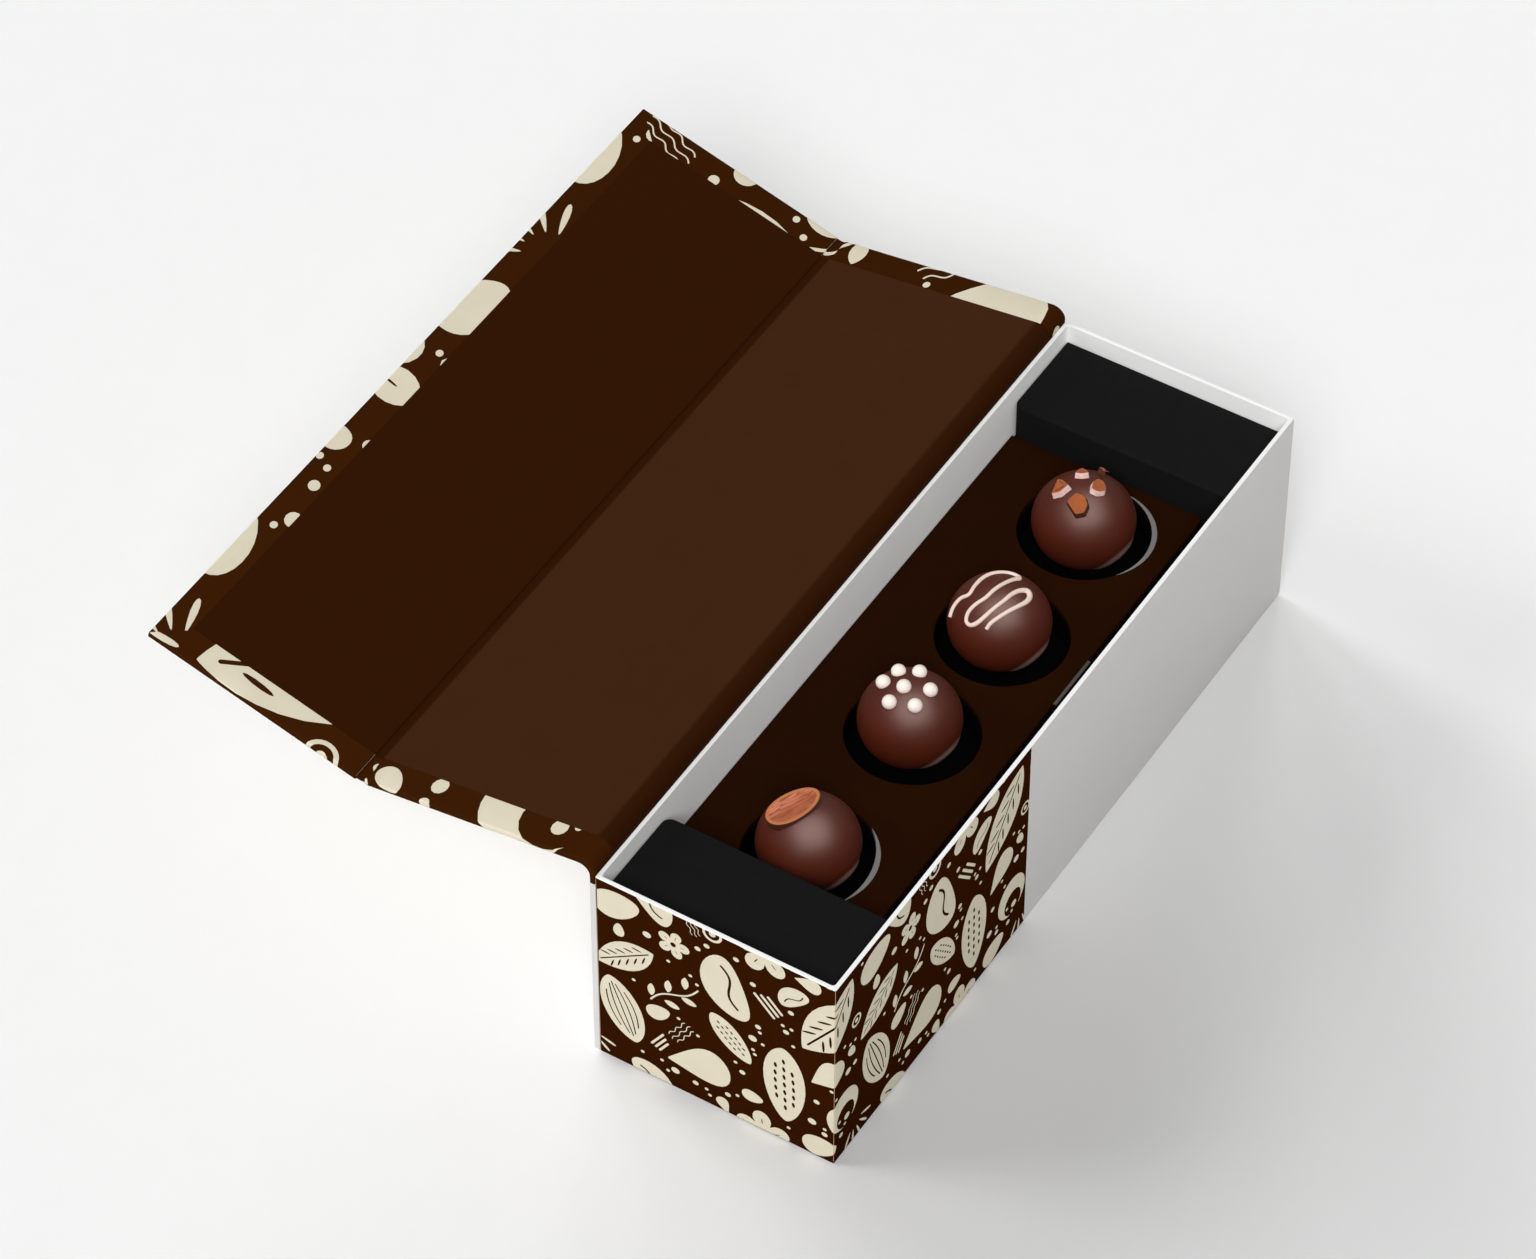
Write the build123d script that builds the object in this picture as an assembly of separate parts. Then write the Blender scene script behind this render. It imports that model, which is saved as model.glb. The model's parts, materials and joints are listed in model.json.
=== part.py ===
from build123d import *
import math
import os

# Gift box of rigid paper-wrapped board with a book cover in two panels, open, holding four sweets in a foam insert.
# Lengths are in millimetres. The origin is the centre of the tray's underside and +Z is up.
# X runs along the box, -Y is the front wall that the flap shuts over, and the cover is hinged at the back, +Y.

# Tray: outside sizes, and the layers of its walls from outside to inside (wrap, board, lining)
tray_length = 220.0
tray_depth = 66.0
tray_height = 64.0
tray_board = 0.8
paper = 0.15
wall = tray_board + 2 * paper
stay_thickness = 0.06
stay_leg = 12.0

# Cover: two board panels in one sheet of wrap, its liner, and the back board glued to the tray
cover_board = 1.5
cover_thickness = cover_board + 2 * paper
turn_in = 15.0
end_border = 8.2
free_border = 7.6
back_board_lift = 0.4
back_board_drop = 3.0

# Hinge of the lid: its axis against the tray's back and the shut lid, and the open pose
rim_gap = 0.3
hinge_behind = 0.2
hinge_above = 0.2
lid_root = 5.17
lid_short_of_front = 0.5
lid_droop_degrees = 8.11
spine_outer_radius = 2.8
spine_inner_radius = 3.6

# Flap: groove between the two panels, its length and its open pose
groove = 2.6
fold_thickness = 0.45
flap_length = 61.6
flap_rise_degrees = 15.55

# Magnets in the flap and steel keepers in the front wall
magnet_radius = 5.0
magnet_height = 1.0
magnet_fit = 0.05
magnet_from_end = 40.0
magnet_from_fold = 45.0
keeper_side = 12.0
keeper_height = 0.5

# Insert: foam in layers, card platform with round wells, and a block at each end that fills what the wells leave
insert_fit = 0.3
block_below_rim = 5.2
platform_below_rim = 16.0
card_thickness = 1.5
card_to_block = 0.1
left_block_over_well = 1.3
right_block_from_well = 2.8
block_corner = 2.5
block_edge = 0.8
foam_strip_width = 8.0
tongue_width = 17.0
tongue_proud = 0.7
tongue_along_share = 0.07
well_radius = 16.9
well_gaps = (12.3, 5.4, 7.9)

# Where the row of wells lies, as a share of the tray's length, and each well across it, as a share of the depth.
# How far each sweet lies off its well's centre, as shares of the slack between the two
row_off_centre_share = -0.00865
well_across_shares = (0.021, 0.008, -0.024, -0.011)
sweet_off_along_shares = (0.434, 0.591, 0.591, 0.434)
sweet_off_across_shares = (0.36, 0.563, 0.563, 0.286)

# Sweets: a chocolate shell round a filling
sweet_radius = 13.0
sweet_half_height = 11.7
sweet_foot = 0.4
sweet_below_rim = 2.25
sweet_shell = 2.4
filling_fit = 0.02

# Toppings: a slice of nut, pearls, a drizzled line and chopped nuts
slice_length = 14.4
slice_width = 7.6
slice_thickness = 1.9
slice_edge = 0.5
slice_sunk = 1.0
slice_turn_degrees = -24.0
pearl_radius = 1.85
pearl_proud = 0.37
drizzle_width = 1.1
drizzle_height = 0.5
nut_length = 5.0
nut_width = 4.0
nut_height = 2.6
nut_sunk = 0.5

# Forms of the toppings, as shares of their own sizes, and their places on the crown, as shares of its radius
slice_blunt_share = 0.85
slice_full_share = 0.15
slice_narrow_share = 0.6
nut_corner_share = 0.25
nut_top_share = 0.2
slice_place_shares = (-0.16, 0.22)
pearl_place_shares = (
    (0.24, 0.40), (0.40, 0.06), (-0.11, 0.51), (-0.11, 0.09), (0.11, -0.34), (-0.48, 0.17), (-0.34, -0.29))
drizzle_place_shares = (
    (-0.67, 0.62), (-0.36, 0.50), (0.07, 0.44), (0.40, 0.26), (0.55, 0.04), (0.50, -0.12), (0.33, -0.08),
    (-0.05, 0.02), (-0.50, 0.26), (-0.74, 0.28), (-0.78, 0.14), (-0.56, -0.02), (-0.15, -0.21), (0.18, -0.32),
    (0.27, -0.42), (0.18, -0.49), (-0.10, -0.45), (-0.44, -0.30), (-0.74, -0.16))
nut_place_shares = ((-0.23, 0.40), (0.20, 0.20), (0.57, -0.01), (0.06, -0.23), (-0.42, -0.09))
nut_size_shares = (1.0, 0.85, 0.45, 1.0, 1.1)
nut_turns_degrees = (-25.0, -25.0, 65.0, 65.0, -25.0)

# Places that follow from the sizes above
half_length = tray_length / 2
half_depth = tray_depth / 2
floor_top = paper + tray_board
inner_half_length = half_length - wall
inner_half_depth = half_depth - wall
insert_half_length = inner_half_length - insert_fit
insert_half_depth = inner_half_depth - insert_fit
insert_foot = floor_top + paper
block_top = tray_height - block_below_rim
platform_top = tray_height - platform_below_rim
platform_bottom = platform_top - card_thickness
well_floor = tray_height - sweet_below_rim - 2 * sweet_half_height + sweet_foot
row_length = 2 * well_radius * len(well_across_shares) + sum(well_gaps)
row_start = row_off_centre_share * tray_length - row_length / 2
left_block_face = row_start + left_block_over_well
right_block_face = row_start + row_length + right_block_from_well
hinge_y = half_depth + hinge_behind
hinge_z = tray_height + rim_gap + paper + cover_thickness + hinge_above
lid_reach = half_depth + hinge_y - lid_root - lid_short_of_front
flap_axis_along = lid_root + lid_reach + groove / 2
fold_to_liner = flap_axis_along - hinge_y - half_depth - rim_gap - paper
flap_axis_out = hinge_above + cover_thickness - fold_to_liner
flap_outer = hinge_above - flap_axis_out
sweet_centre_z = well_floor + sweet_half_height - sweet_foot

lid_frame = Plane(origin=(0, hinge_y, hinge_z), x_dir=(1, 0, 0)).rotated((-lid_droop_degrees, 0, 0))
flap_origin = lid_frame.from_local_coords((0, flap_axis_along, flap_axis_out))
flap_frame = Plane(origin=flap_origin, x_dir=(1, 0, 0)).rotated((flap_rise_degrees, 0, 0))


def block(low, high):
    """Box between its lowest and its highest corner."""
    size = [b - a for a, b in zip(low, high)]
    middle = [(a + b) / 2 for a, b in zip(low, high)]
    return Pos(*middle) * Box(*size)


def centred(half_x, half_y, low_z, high_z):
    """Box centred on the tray's axes, between two heights."""
    return block((-half_x, -half_y, low_z), (half_x, half_y, high_z))


def ring(outer_x, outer_y, thickness, low_z, high_z):
    """Four thin walls that stand in a rectangle."""
    inside = centred(outer_x - thickness, outer_y - thickness, low_z, high_z)
    return centred(outer_x, outer_y, low_z, high_z) - inside


def placed(frame, shape):
    """The shape, made in a panel's own axes, put where the panel is."""
    return frame.location * shape


def save(node, shape):
    """Writes one sub-part."""
    export_step(shape, f"parts/{node}.step")


# Tray
def keeper_places():
    """Centres of the keepers on the front board's outer face."""
    keeper_z = hinge_z - flap_axis_out - magnet_from_fold
    return [(side * (half_length - magnet_from_end), keeper_z) for side in (-1, 1)]


def keeper_plates():
    """Steel plates let into the front board from outside."""
    outer_face = -half_depth + paper
    half = keeper_side / 2
    plates = [
        block((x - half, outer_face, z - half), (x + half, outer_face + keeper_height, z + half))
        for x, z in keeper_places()]
    return Compound(children=plates)


def long_board(side):
    """Front or back wall board, which runs past the ends of the short ones."""
    outer, inner = side * (half_depth - paper), side * (half_depth - paper - tray_board)
    return block(
        (-half_length + paper, min(outer, inner), floor_top),
        (half_length - paper, max(outer, inner), tray_height - paper))


def short_board(side):
    """Wall board of one end, between the two long ones."""
    outer, inner = side * (half_length - paper), side * (half_length - paper - tray_board)
    half_y = half_depth - paper - tray_board
    return block((min(outer, inner), -half_y, floor_top), (max(outer, inner), half_y, tray_height - paper))


def corner_stays():
    """Paper tape folded round the four upright corners, over the boards."""
    whole = ring(
        half_length - paper + stay_thickness, half_depth - paper + stay_thickness, stay_thickness,
        floor_top, tray_height - paper)
    along = centred(half_length - stay_leg, half_depth, floor_top, tray_height)
    across = centred(half_length, half_depth - stay_leg, floor_top, tray_height)
    return whole - along - across


def side_wrap():
    """Printed paper round the four walls, over the corner stays."""
    skin = ring(half_length, half_depth, paper, paper, tray_height - paper)
    return skin - corner_stays()


def lining():
    """White paper down the inside of the walls, and over the rim."""
    inside = ring(inner_half_length + paper, inner_half_depth + paper, paper, floor_top, tray_height - paper)
    rim = ring(half_length, half_depth, wall, tray_height - paper, tray_height)
    return inside + rim


def make_tray():
    """Writes the nodes of the tray."""
    save("tray_base_wrap", centred(half_length, half_depth, 0, paper))
    save("tray_floor_board", centred(half_length - paper, half_depth - paper, paper, floor_top))
    save("tray_front_board", long_board(-1) - keeper_plates())
    save("tray_back_board", long_board(1))
    save("tray_left_board", short_board(-1))
    save("tray_right_board", short_board(1))
    save("tray_corner_stays", corner_stays())
    save("tray_side_wrap", side_wrap())
    save("tray_lining", lining())
    save("tray_floor_paper", centred(inner_half_length, inner_half_depth, floor_top, insert_foot))
    save("keeper_plates", keeper_plates())


# Cover
def back_board():
    """Board glued to the tray's back, which carries the spine."""
    return block(
        (-half_length, half_depth, back_board_lift),
        (half_length, half_depth + cover_board, tray_height - back_board_drop))


def back_wrap():
    """Outer sheet over the back board."""
    return block(
        (-half_length, half_depth + cover_board, back_board_lift),
        (half_length, half_depth + cover_board + paper, tray_height - back_board_drop))


def bent_path(start, corner, end, radius):
    """Straight, arc, straight, through a corner in the plane of the box's end."""
    return FilletPolyline(start, corner, end, radius=radius)


def lid_point(along, out):
    """A point of the open lid's section, as Y and Z."""
    point = lid_frame.from_local_coords((0, along, out))
    return point.Y, point.Z


def meet_upright(y, out):
    """Where the lid's face at this height over its hinge axis meets an upright plane."""
    (y0, z0), (y1, z1) = lid_point(0, out), lid_point(lid_root, out)
    return y, z0 + (z1 - z0) * (y - y0) / (y1 - y0)


def spine():
    """Flexible strip from the back board's top, over the tray's rim, to the open lid."""
    top_of_board = tray_height - back_board_drop
    outer_y = half_depth + cover_board + paper
    inner_out = hinge_above + cover_thickness + paper
    with BuildSketch(Plane.YZ.offset(-half_length)) as section:
        with BuildLine():
            bent_path(
                (outer_y, top_of_board), meet_upright(outer_y, hinge_above),
                lid_point(lid_root, hinge_above), spine_outer_radius)
            Line(lid_point(lid_root, hinge_above), lid_point(lid_root, inner_out))
            bent_path(
                lid_point(lid_root, inner_out), meet_upright(half_depth, inner_out),
                (half_depth, top_of_board), spine_inner_radius)
            Line((half_depth, top_of_board), (outer_y, top_of_board))
        make_face()
    return extrude(section.sketch, tray_length)


def panel_board(start, reach, outer):
    """Board of a panel that starts at this distance from its hinge, with its outer face at this height."""
    return block(
        (-half_length + paper, start, outer + paper), (half_length - paper, start + reach, outer + paper + cover_board))


def panel_window(start, reach, outer):
    """The part of the board that the wrap's turned-in borders leave bare."""
    low = outer + paper + cover_board
    return block((-half_length + turn_in, start, low), (half_length - turn_in, start + reach, low + paper))


def panel_wrap(start, reach, outer, board, window):
    """Outer sheet of a panel with its borders turned in round the board."""
    whole = block((-half_length, start, outer), (half_length, start + reach, outer + cover_thickness))
    return whole - board - window


def panel_liner(start, reach, outer, window):
    """Plain inner sheet: it fills the window and laps the turned-in borders."""
    top = outer + cover_thickness
    sheet = block((-half_length + end_border, start, top), (half_length - end_border, start + reach, top + paper))
    return sheet + window


def magnet_discs(outer, radius):
    """Two discs of this radius, let into the flap's board from its inner side."""
    middle = outer + paper + cover_board - magnet_height / 2
    discs = [
        Pos(side * (half_length - magnet_from_end), magnet_from_fold, middle) * Cylinder(radius, magnet_height)
        for side in (-1, 1)]
    return Compound(children=discs)


def fold_strip():
    """Flexible strip across the groove between the lid and the flap, bent as the open flap stands."""
    half = fold_thickness / 2
    lid_edge = flap_axis_along - groove / 2
    joint_out = flap_axis_out
    low, high = joint_out - half, joint_out + half

    def flap_point(along, out):
        point = flap_frame.from_local_coords((0, along, out))
        return point.Y, point.Z

    with BuildSketch(Plane.YZ.offset(-half_length)) as section:
        with BuildLine():
            Polyline(
                lid_point(lid_edge, low), lid_point(flap_axis_along, low), flap_point(groove / 2, -half),
                flap_point(groove / 2, half), lid_point(flap_axis_along, high), lid_point(lid_edge, high),
                lid_point(lid_edge, low))
        make_face()
    return extrude(section.sketch, tray_length)


def make_cover():
    """Writes the nodes of the cover."""
    save("cover_back_board", back_board())
    save("cover_back_wrap", back_wrap())
    save("cover_spine", spine())

    board = panel_board(lid_root, lid_reach, hinge_above)
    window = panel_window(lid_root, lid_reach, hinge_above)
    save("lid_board", placed(lid_frame, board))
    save("lid_wrap", placed(lid_frame, panel_wrap(lid_root, lid_reach, hinge_above, board, window)))
    save("lid_liner", placed(lid_frame, panel_liner(lid_root, lid_reach, hinge_above, window)))

    start = groove / 2
    board = panel_board(start, flap_length - paper, flap_outer)
    window = panel_window(start, flap_length - turn_in, flap_outer)
    liner = panel_liner(start, flap_length - free_border, flap_outer, window)
    save("flap_board", placed(flap_frame, board - magnet_discs(flap_outer, magnet_radius + magnet_fit)))
    save("flap_wrap", placed(flap_frame, panel_wrap(start, flap_length, flap_outer, board, window)))
    save("flap_liner", placed(flap_frame, liner))
    save("flap_magnets", placed(flap_frame, magnet_discs(flap_outer, magnet_radius)))
    save("cover_fold", fold_strip())


# Insert
def well_places():
    """Centres of the four wells, in a row with their own gaps between them."""
    along = [row_start + well_radius]
    for gap in well_gaps:
        along.append(along[-1] + 2 * well_radius + gap)
    return [(x, share * tray_depth) for x, share in zip(along, well_across_shares)]


def wells(low_z, high_z):
    """The four round holes, between two heights."""
    height = high_z - low_z
    holes = [Pos(x, y, low_z + height / 2) * Cylinder(well_radius, height) for x, y in well_places()]
    return Compound(children=holes)


def foam_layer(low_z, high_z):
    """Layer of foam that fills the tray's inside, between two heights."""
    return centred(insert_half_length, insert_half_depth, low_z, high_z)


def end_block(end, face):
    """Foam block from the insert's end to its face by the sweets, whose edges are soft."""
    whole = block(
        (min(end, face), -insert_half_depth, platform_bottom), (max(end, face), insert_half_depth, block_top))
    facing = whole.edges().filter_by(Axis.Z).group_by(Axis.X)[0 if face < end else -1]
    rounded = fillet(facing, block_corner)
    top = rounded.faces().sort_by(Axis.Z)[-1]
    return fillet(top.edges(), block_edge)


def platform_card():
    """Card with the wells cut through it; its front edge carries a short tongue."""
    front = -insert_half_depth + foam_strip_width
    sheet = block(
        (left_block_face + card_to_block, front, platform_bottom),
        (right_block_face - card_to_block, insert_half_depth, platform_top))
    tongue_x = tongue_along_share * tray_length
    tongue = block(
        (tongue_x - tongue_width / 2, front - tongue_proud, platform_bottom),
        (tongue_x + tongue_width / 2, front, platform_top))
    return sheet + tongue - wells(platform_bottom, platform_top)


def make_insert():
    """Writes the nodes of the insert."""
    save("foam_base", foam_layer(insert_foot, well_floor))
    save("foam_wells", foam_layer(well_floor, platform_bottom) - wells(well_floor, platform_bottom))
    save("foam_left_block", end_block(-insert_half_length, left_block_face))
    save("foam_right_block", end_block(insert_half_length, right_block_face))
    save("platform_card", platform_card())


# Sweets
def egg(radius, half_height):
    """Ball of this radius, pressed to this half height, about the origin."""
    return scale(Sphere(radius), by=(1, 1, half_height / radius))


def sweet_centre(index):
    """Centre of a sweet, off its well's centre by its share of the slack."""
    x, y = well_places()[index]
    slack = well_radius - sweet_radius
    return (
        x + sweet_off_along_shares[index] * slack, y + sweet_off_across_shares[index] * slack, sweet_centre_z)


def sweet_body():
    """Outer form of a sweet about its own centre, with a flat foot."""
    below = -sweet_half_height + sweet_foot
    return egg(sweet_radius, sweet_half_height) - centred(
        sweet_radius, sweet_radius, -sweet_half_height, below)


def cavity(fit):
    """Room for the filling, less this fit all round."""
    return egg(sweet_radius - sweet_shell - fit, sweet_half_height - sweet_shell - fit)


def crown_point(shares, proud):
    """Point over the crown at these shares of the radius, this far out from the surface."""
    x, y = (share * sweet_radius for share in shares)
    z = sweet_half_height * math.sqrt(1 - (x * x + y * y) / sweet_radius**2)
    steep = (sweet_radius / sweet_half_height) ** 2
    normal = Vector(x, y, z * steep).normalized()
    return Vector(x, y, z) + normal * proud, normal


def nut_slice():
    """Slice of nut, narrower at one end, pressed a little into the crown."""
    half, side = slice_length / 2, slice_width / 2
    full, blunt, narrow = half * slice_full_share, half * slice_blunt_share, side * slice_narrow_share
    with BuildSketch() as outline:
        with BuildLine():
            Spline(
                (half, 0), (full, side), (-blunt, narrow), (-half, 0), (-blunt, -narrow), (full, -side),
                periodic=True)
        make_face()
    body = extrude(outline.sketch, slice_thickness)
    body = fillet(body.faces().sort_by(Axis.Z)[-1].edges(), slice_edge)
    place, normal = crown_point(slice_place_shares, -slice_sunk)
    lie = Plane(origin=place, z_dir=normal, x_dir=(1, 0, 0)).location
    return lie * Rot(0, 0, slice_turn_degrees) * body


def pearls():
    """Sugar pearls, each set a little into the crown."""
    beads = [Pos(*crown_point(shares, pearl_proud)[0]) * Sphere(pearl_radius) for shares in pearl_place_shares]
    return Compound(children=beads)


def drizzle():
    """Poured line that runs to and fro over the crown."""
    points = [(x * sweet_radius, y * sweet_radius) for x, y in drizzle_place_shares]
    line = Sketch()
    for (x0, y0), (x1, y1) in zip(points, points[1:]):
        run = math.hypot(x1 - x0, y1 - y0)
        turn = math.degrees(math.atan2(y1 - y0, x1 - x0))
        line += Pos((x0 + x1) / 2, (y0 + y1) / 2) * Rot(0, 0, turn) * SlotCenterToCenter(run, drizzle_width)
    column = extrude(line, sweet_half_height + drizzle_height)
    return column & egg(sweet_radius + drizzle_height, sweet_half_height + drizzle_height)


def nut_pieces():
    """Chopped nuts with their corners broken."""
    bits = []
    for shares, size, turn in zip(nut_place_shares, nut_size_shares, nut_turns_degrees):
        place, normal = crown_point(shares, nut_height * size / 2 - nut_sunk)
        bit = Box(nut_length * size, nut_width * size, nut_height * size)
        bit = chamfer(bit.edges().filter_by(Axis.Z), nut_width * size * nut_corner_share)
        bit = chamfer(bit.faces().sort_by(Axis.Z)[-1].edges(), nut_height * size * nut_top_share)
        bits.append(Plane(origin=place, z_dir=normal, x_dir=(1, 0, 0)).location * Rot(0, 0, turn) * bit)
    return Compound(children=bits)


def make_sweets():
    """Writes the nodes of the four sweets."""
    toppings = {1: ("nut_slice", nut_slice()), 2: ("pearls", pearls()), 3: ("drizzle", drizzle()),
                4: ("nut_pieces", nut_pieces())}
    body = sweet_body()
    for number in range(1, len(well_across_shares) + 1):
        place = Pos(*sweet_centre(number - 1))
        save(f"sweet_{number}_shell", place * (body - cavity(0)))
        save(f"sweet_{number}_filling", place * cavity(filling_fit))
        name, topping = toppings[number]
        save(f"sweet_{number}_{name}", place * (topping - body))


os.makedirs("parts", exist_ok=True)
make_tray()
make_cover()
make_insert()
make_sweets()
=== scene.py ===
"""Visual model of an open chocolate box: a paper-wrapped tray with a book cover, a foam insert and four sweets.

Lengths are in millimetres while a piece is made, and turned to metres once, when it is finished.
X runs along the box, -Y is the front wall, the cover is hinged at +Y, and +Z is up.
"""
import json
import logging
import math
from collections.abc import Callable, Iterable, Sequence
from dataclasses import dataclass
from enum import Enum

import bpy
from mathutils import Matrix, Vector

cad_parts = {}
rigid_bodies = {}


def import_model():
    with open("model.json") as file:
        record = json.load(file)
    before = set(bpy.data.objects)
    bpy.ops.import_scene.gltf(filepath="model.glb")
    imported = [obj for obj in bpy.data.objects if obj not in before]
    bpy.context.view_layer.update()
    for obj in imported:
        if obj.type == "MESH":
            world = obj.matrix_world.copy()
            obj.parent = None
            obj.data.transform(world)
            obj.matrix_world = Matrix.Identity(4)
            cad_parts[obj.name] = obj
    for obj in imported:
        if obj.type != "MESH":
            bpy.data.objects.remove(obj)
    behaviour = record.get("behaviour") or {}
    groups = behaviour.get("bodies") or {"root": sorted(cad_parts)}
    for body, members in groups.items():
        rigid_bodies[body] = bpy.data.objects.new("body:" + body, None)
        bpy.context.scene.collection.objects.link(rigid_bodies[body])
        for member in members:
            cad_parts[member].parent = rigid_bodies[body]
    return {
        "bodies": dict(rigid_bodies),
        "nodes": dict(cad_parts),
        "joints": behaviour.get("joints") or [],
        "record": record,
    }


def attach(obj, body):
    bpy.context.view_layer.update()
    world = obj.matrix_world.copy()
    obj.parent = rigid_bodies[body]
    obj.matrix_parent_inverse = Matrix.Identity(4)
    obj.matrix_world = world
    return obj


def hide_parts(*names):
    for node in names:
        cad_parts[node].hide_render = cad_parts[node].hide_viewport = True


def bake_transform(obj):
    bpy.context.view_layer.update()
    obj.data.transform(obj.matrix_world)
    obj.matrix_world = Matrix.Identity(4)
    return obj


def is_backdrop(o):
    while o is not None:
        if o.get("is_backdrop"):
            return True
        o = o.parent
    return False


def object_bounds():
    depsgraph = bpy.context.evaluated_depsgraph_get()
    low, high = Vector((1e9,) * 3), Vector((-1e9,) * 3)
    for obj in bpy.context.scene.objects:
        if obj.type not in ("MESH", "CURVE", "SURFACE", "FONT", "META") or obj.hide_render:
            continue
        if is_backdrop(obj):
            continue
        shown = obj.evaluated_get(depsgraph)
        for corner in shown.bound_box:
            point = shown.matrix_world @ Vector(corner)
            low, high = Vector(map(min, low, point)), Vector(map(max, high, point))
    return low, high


Point = tuple[float, float]
Triple = tuple[float, float, float]
Loop = list[Point]
Fold = Callable[[float, float, float], Vector]

MM = 0.001
# Points closer than the first are one, and a face or an edge is told by its place within either of the two
WELD_MM = 0.001
NEAR_MM = 0.01
# Name of a piece's own flat map, and the millimetres in one unit of it
SHEET_MAP = "sheet"
MAP_MM = 100.0
# Name of the mesh's own value for how much of a sweet's painted sheen, a paler tone that stands for a highlight, shows
PAINTED_SHEEN_SHARE = "rub"
# Where the front wall's print ends
PRINT_BORDER_X = -20.6
log = logging.getLogger("chocolate_box")


# Finishes


def linear(code: str) -> tuple[float, float, float, float]:
    """Turns an sRGB hex colour to linear RGBA.

    Args:
        code: Colour such as "#3C170D".

    Returns:
        Red, green, blue and an alpha of 1.
    """
    parts = [int(code[place:place + 2], 16) / 255 for place in (1, 3, 5)]
    red, green, blue = (p / 12.92 if p <= 0.04045 else ((p + 0.055) / 1.055) ** 2.4 for p in parts)
    return red, green, blue, 1.0


def add_node(tree: bpy.types.NodeTree, kind: str, settings: dict | None = None,
             inputs: dict | None = None) -> bpy.types.Node:
    """Adds a node, and sets or links its inputs.

    Args:
        tree: Tree that gets the node.
        kind: Blender's name for the node's type.
        settings: Properties of the node itself.
        inputs: Values or output sockets, by the input's name or number.

    Returns:
        The new node.
    """
    node = tree.nodes.new(kind)
    for name, value in (settings or {}).items():
        setattr(node, name, value)
    for name, value in (inputs or {}).items():
        if isinstance(value, bpy.types.NodeSocket):
            tree.links.new(value, node.inputs[name])
        else:
            node.inputs[name].default_value = value
    return node


@dataclass(frozen=True)
class Finish:
    """A surface in two tones that drift softly into each other, under a fine relief."""

    name: str
    colour: str
    second: str
    drift_mm: float = 12.0
    grain_mm: float = 0.5
    relief_mm: float = 0.01
    roughness: float = 0.6
    rough_spread: float = 0.06
    specular: float = 0.5
    ior: float = 1.5
    metallic: float = 0.0
    subsurface: float = 0.0
    depth_mm: Triple = (1.2, 0.6, 0.3)
    gloss_tint: str = "#FFFFFF"

    def tone(self, tree: bpy.types.NodeTree, place: bpy.types.NodeSocket) -> bpy.types.NodeSocket:
        """Colour over the surface.

        Args:
            tree: Tree of the material.
            place: Where on the object the point is.

        Returns:
            Socket that gives the colour.
        """
        drift = add_node(tree, "ShaderNodeTexNoise", inputs={
            "Vector": place, "Scale": 1 / (self.drift_mm * MM), "Detail": 3.0, "Roughness": 0.6})
        return add_node(tree, "ShaderNodeMix", {"data_type": "RGBA"}, {
            0: drift.outputs["Fac"], 6: linear(self.colour), 7: linear(self.second)}).outputs[2]

    def height(self, tree: bpy.types.NodeTree, place: bpy.types.NodeSocket) -> bpy.types.NodeSocket:
        """Height of the relief over the surface, from 0 to 1.

        Args:
            tree: Tree of the material.
            place: Where on the object the point is.

        Returns:
            Socket that gives the height.
        """
        return add_node(tree, "ShaderNodeTexNoise", inputs={
            "Vector": place, "Scale": 1 / (self.grain_mm * MM), "Detail": 4.0, "Roughness": 0.65}).outputs["Fac"]

    def make(self) -> bpy.types.Material:
        """Builds the material, or gives it again if it is already there.

        Returns:
            The material.
        """
        known = bpy.data.materials.get(self.name)
        if known:
            return known
        material = bpy.data.materials.new(self.name)
        material.use_nodes = True
        tree = material.node_tree
        shader = tree.nodes["Principled BSDF"]
        place = add_node(tree, "ShaderNodeTexCoord").outputs["Object"]
        height = self.height(tree, place)
        bump = add_node(tree, "ShaderNodeBump", inputs={"Height": height, "Distance": self.relief_mm * MM})
        rough = add_node(tree, "ShaderNodeMapRange", inputs={
            "Value": height, "To Min": self.roughness - self.rough_spread,
            "To Max": self.roughness + self.rough_spread})
        tree.links.new(self.tone(tree, place), shader.inputs["Base Color"])
        tree.links.new(rough.outputs["Result"], shader.inputs["Roughness"])
        tree.links.new(bump.outputs["Normal"], shader.inputs["Normal"])
        for name, value in (("IOR", self.ior), ("Metallic", self.metallic), ("Specular IOR Level", self.specular),
                            ("Subsurface Weight", self.subsurface), ("Specular Tint", linear(self.gloss_tint))):
            shader.inputs[name].default_value = value
        if self.subsurface:
            shader.inputs["Subsurface Radius"].default_value = [depth * MM for depth in self.depth_mm]
            shader.inputs["Subsurface Scale"].default_value = 1.0
        material.diffuse_color = linear(self.colour)
        return material


@dataclass(frozen=True)
class PartPrinted(Finish):
    """Paper whose printed ground ends at a straight border across the box, with bare paper beyond it."""

    bare: str = "#DEDCDA"
    border_x_mm: float = PRINT_BORDER_X

    def tone(self, tree: bpy.types.NodeTree, place: bpy.types.NodeSocket) -> bpy.types.NodeSocket:
        """Colour of the printed ground on one side of the border and of the bare paper on the other."""
        ground = super().tone(tree, place)
        along = add_node(tree, "ShaderNodeSeparateXYZ", inputs={"Vector": place}).outputs["X"]
        beyond = add_node(tree, "ShaderNodeMath", {"operation": "GREATER_THAN"}, {
            0: along, 1: self.border_x_mm * MM}).outputs["Value"]
        return add_node(tree, "ShaderNodeMix", {"data_type": "RGBA"}, {
            0: beyond, 6: ground, 7: linear(self.bare)}).outputs[2]


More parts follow.
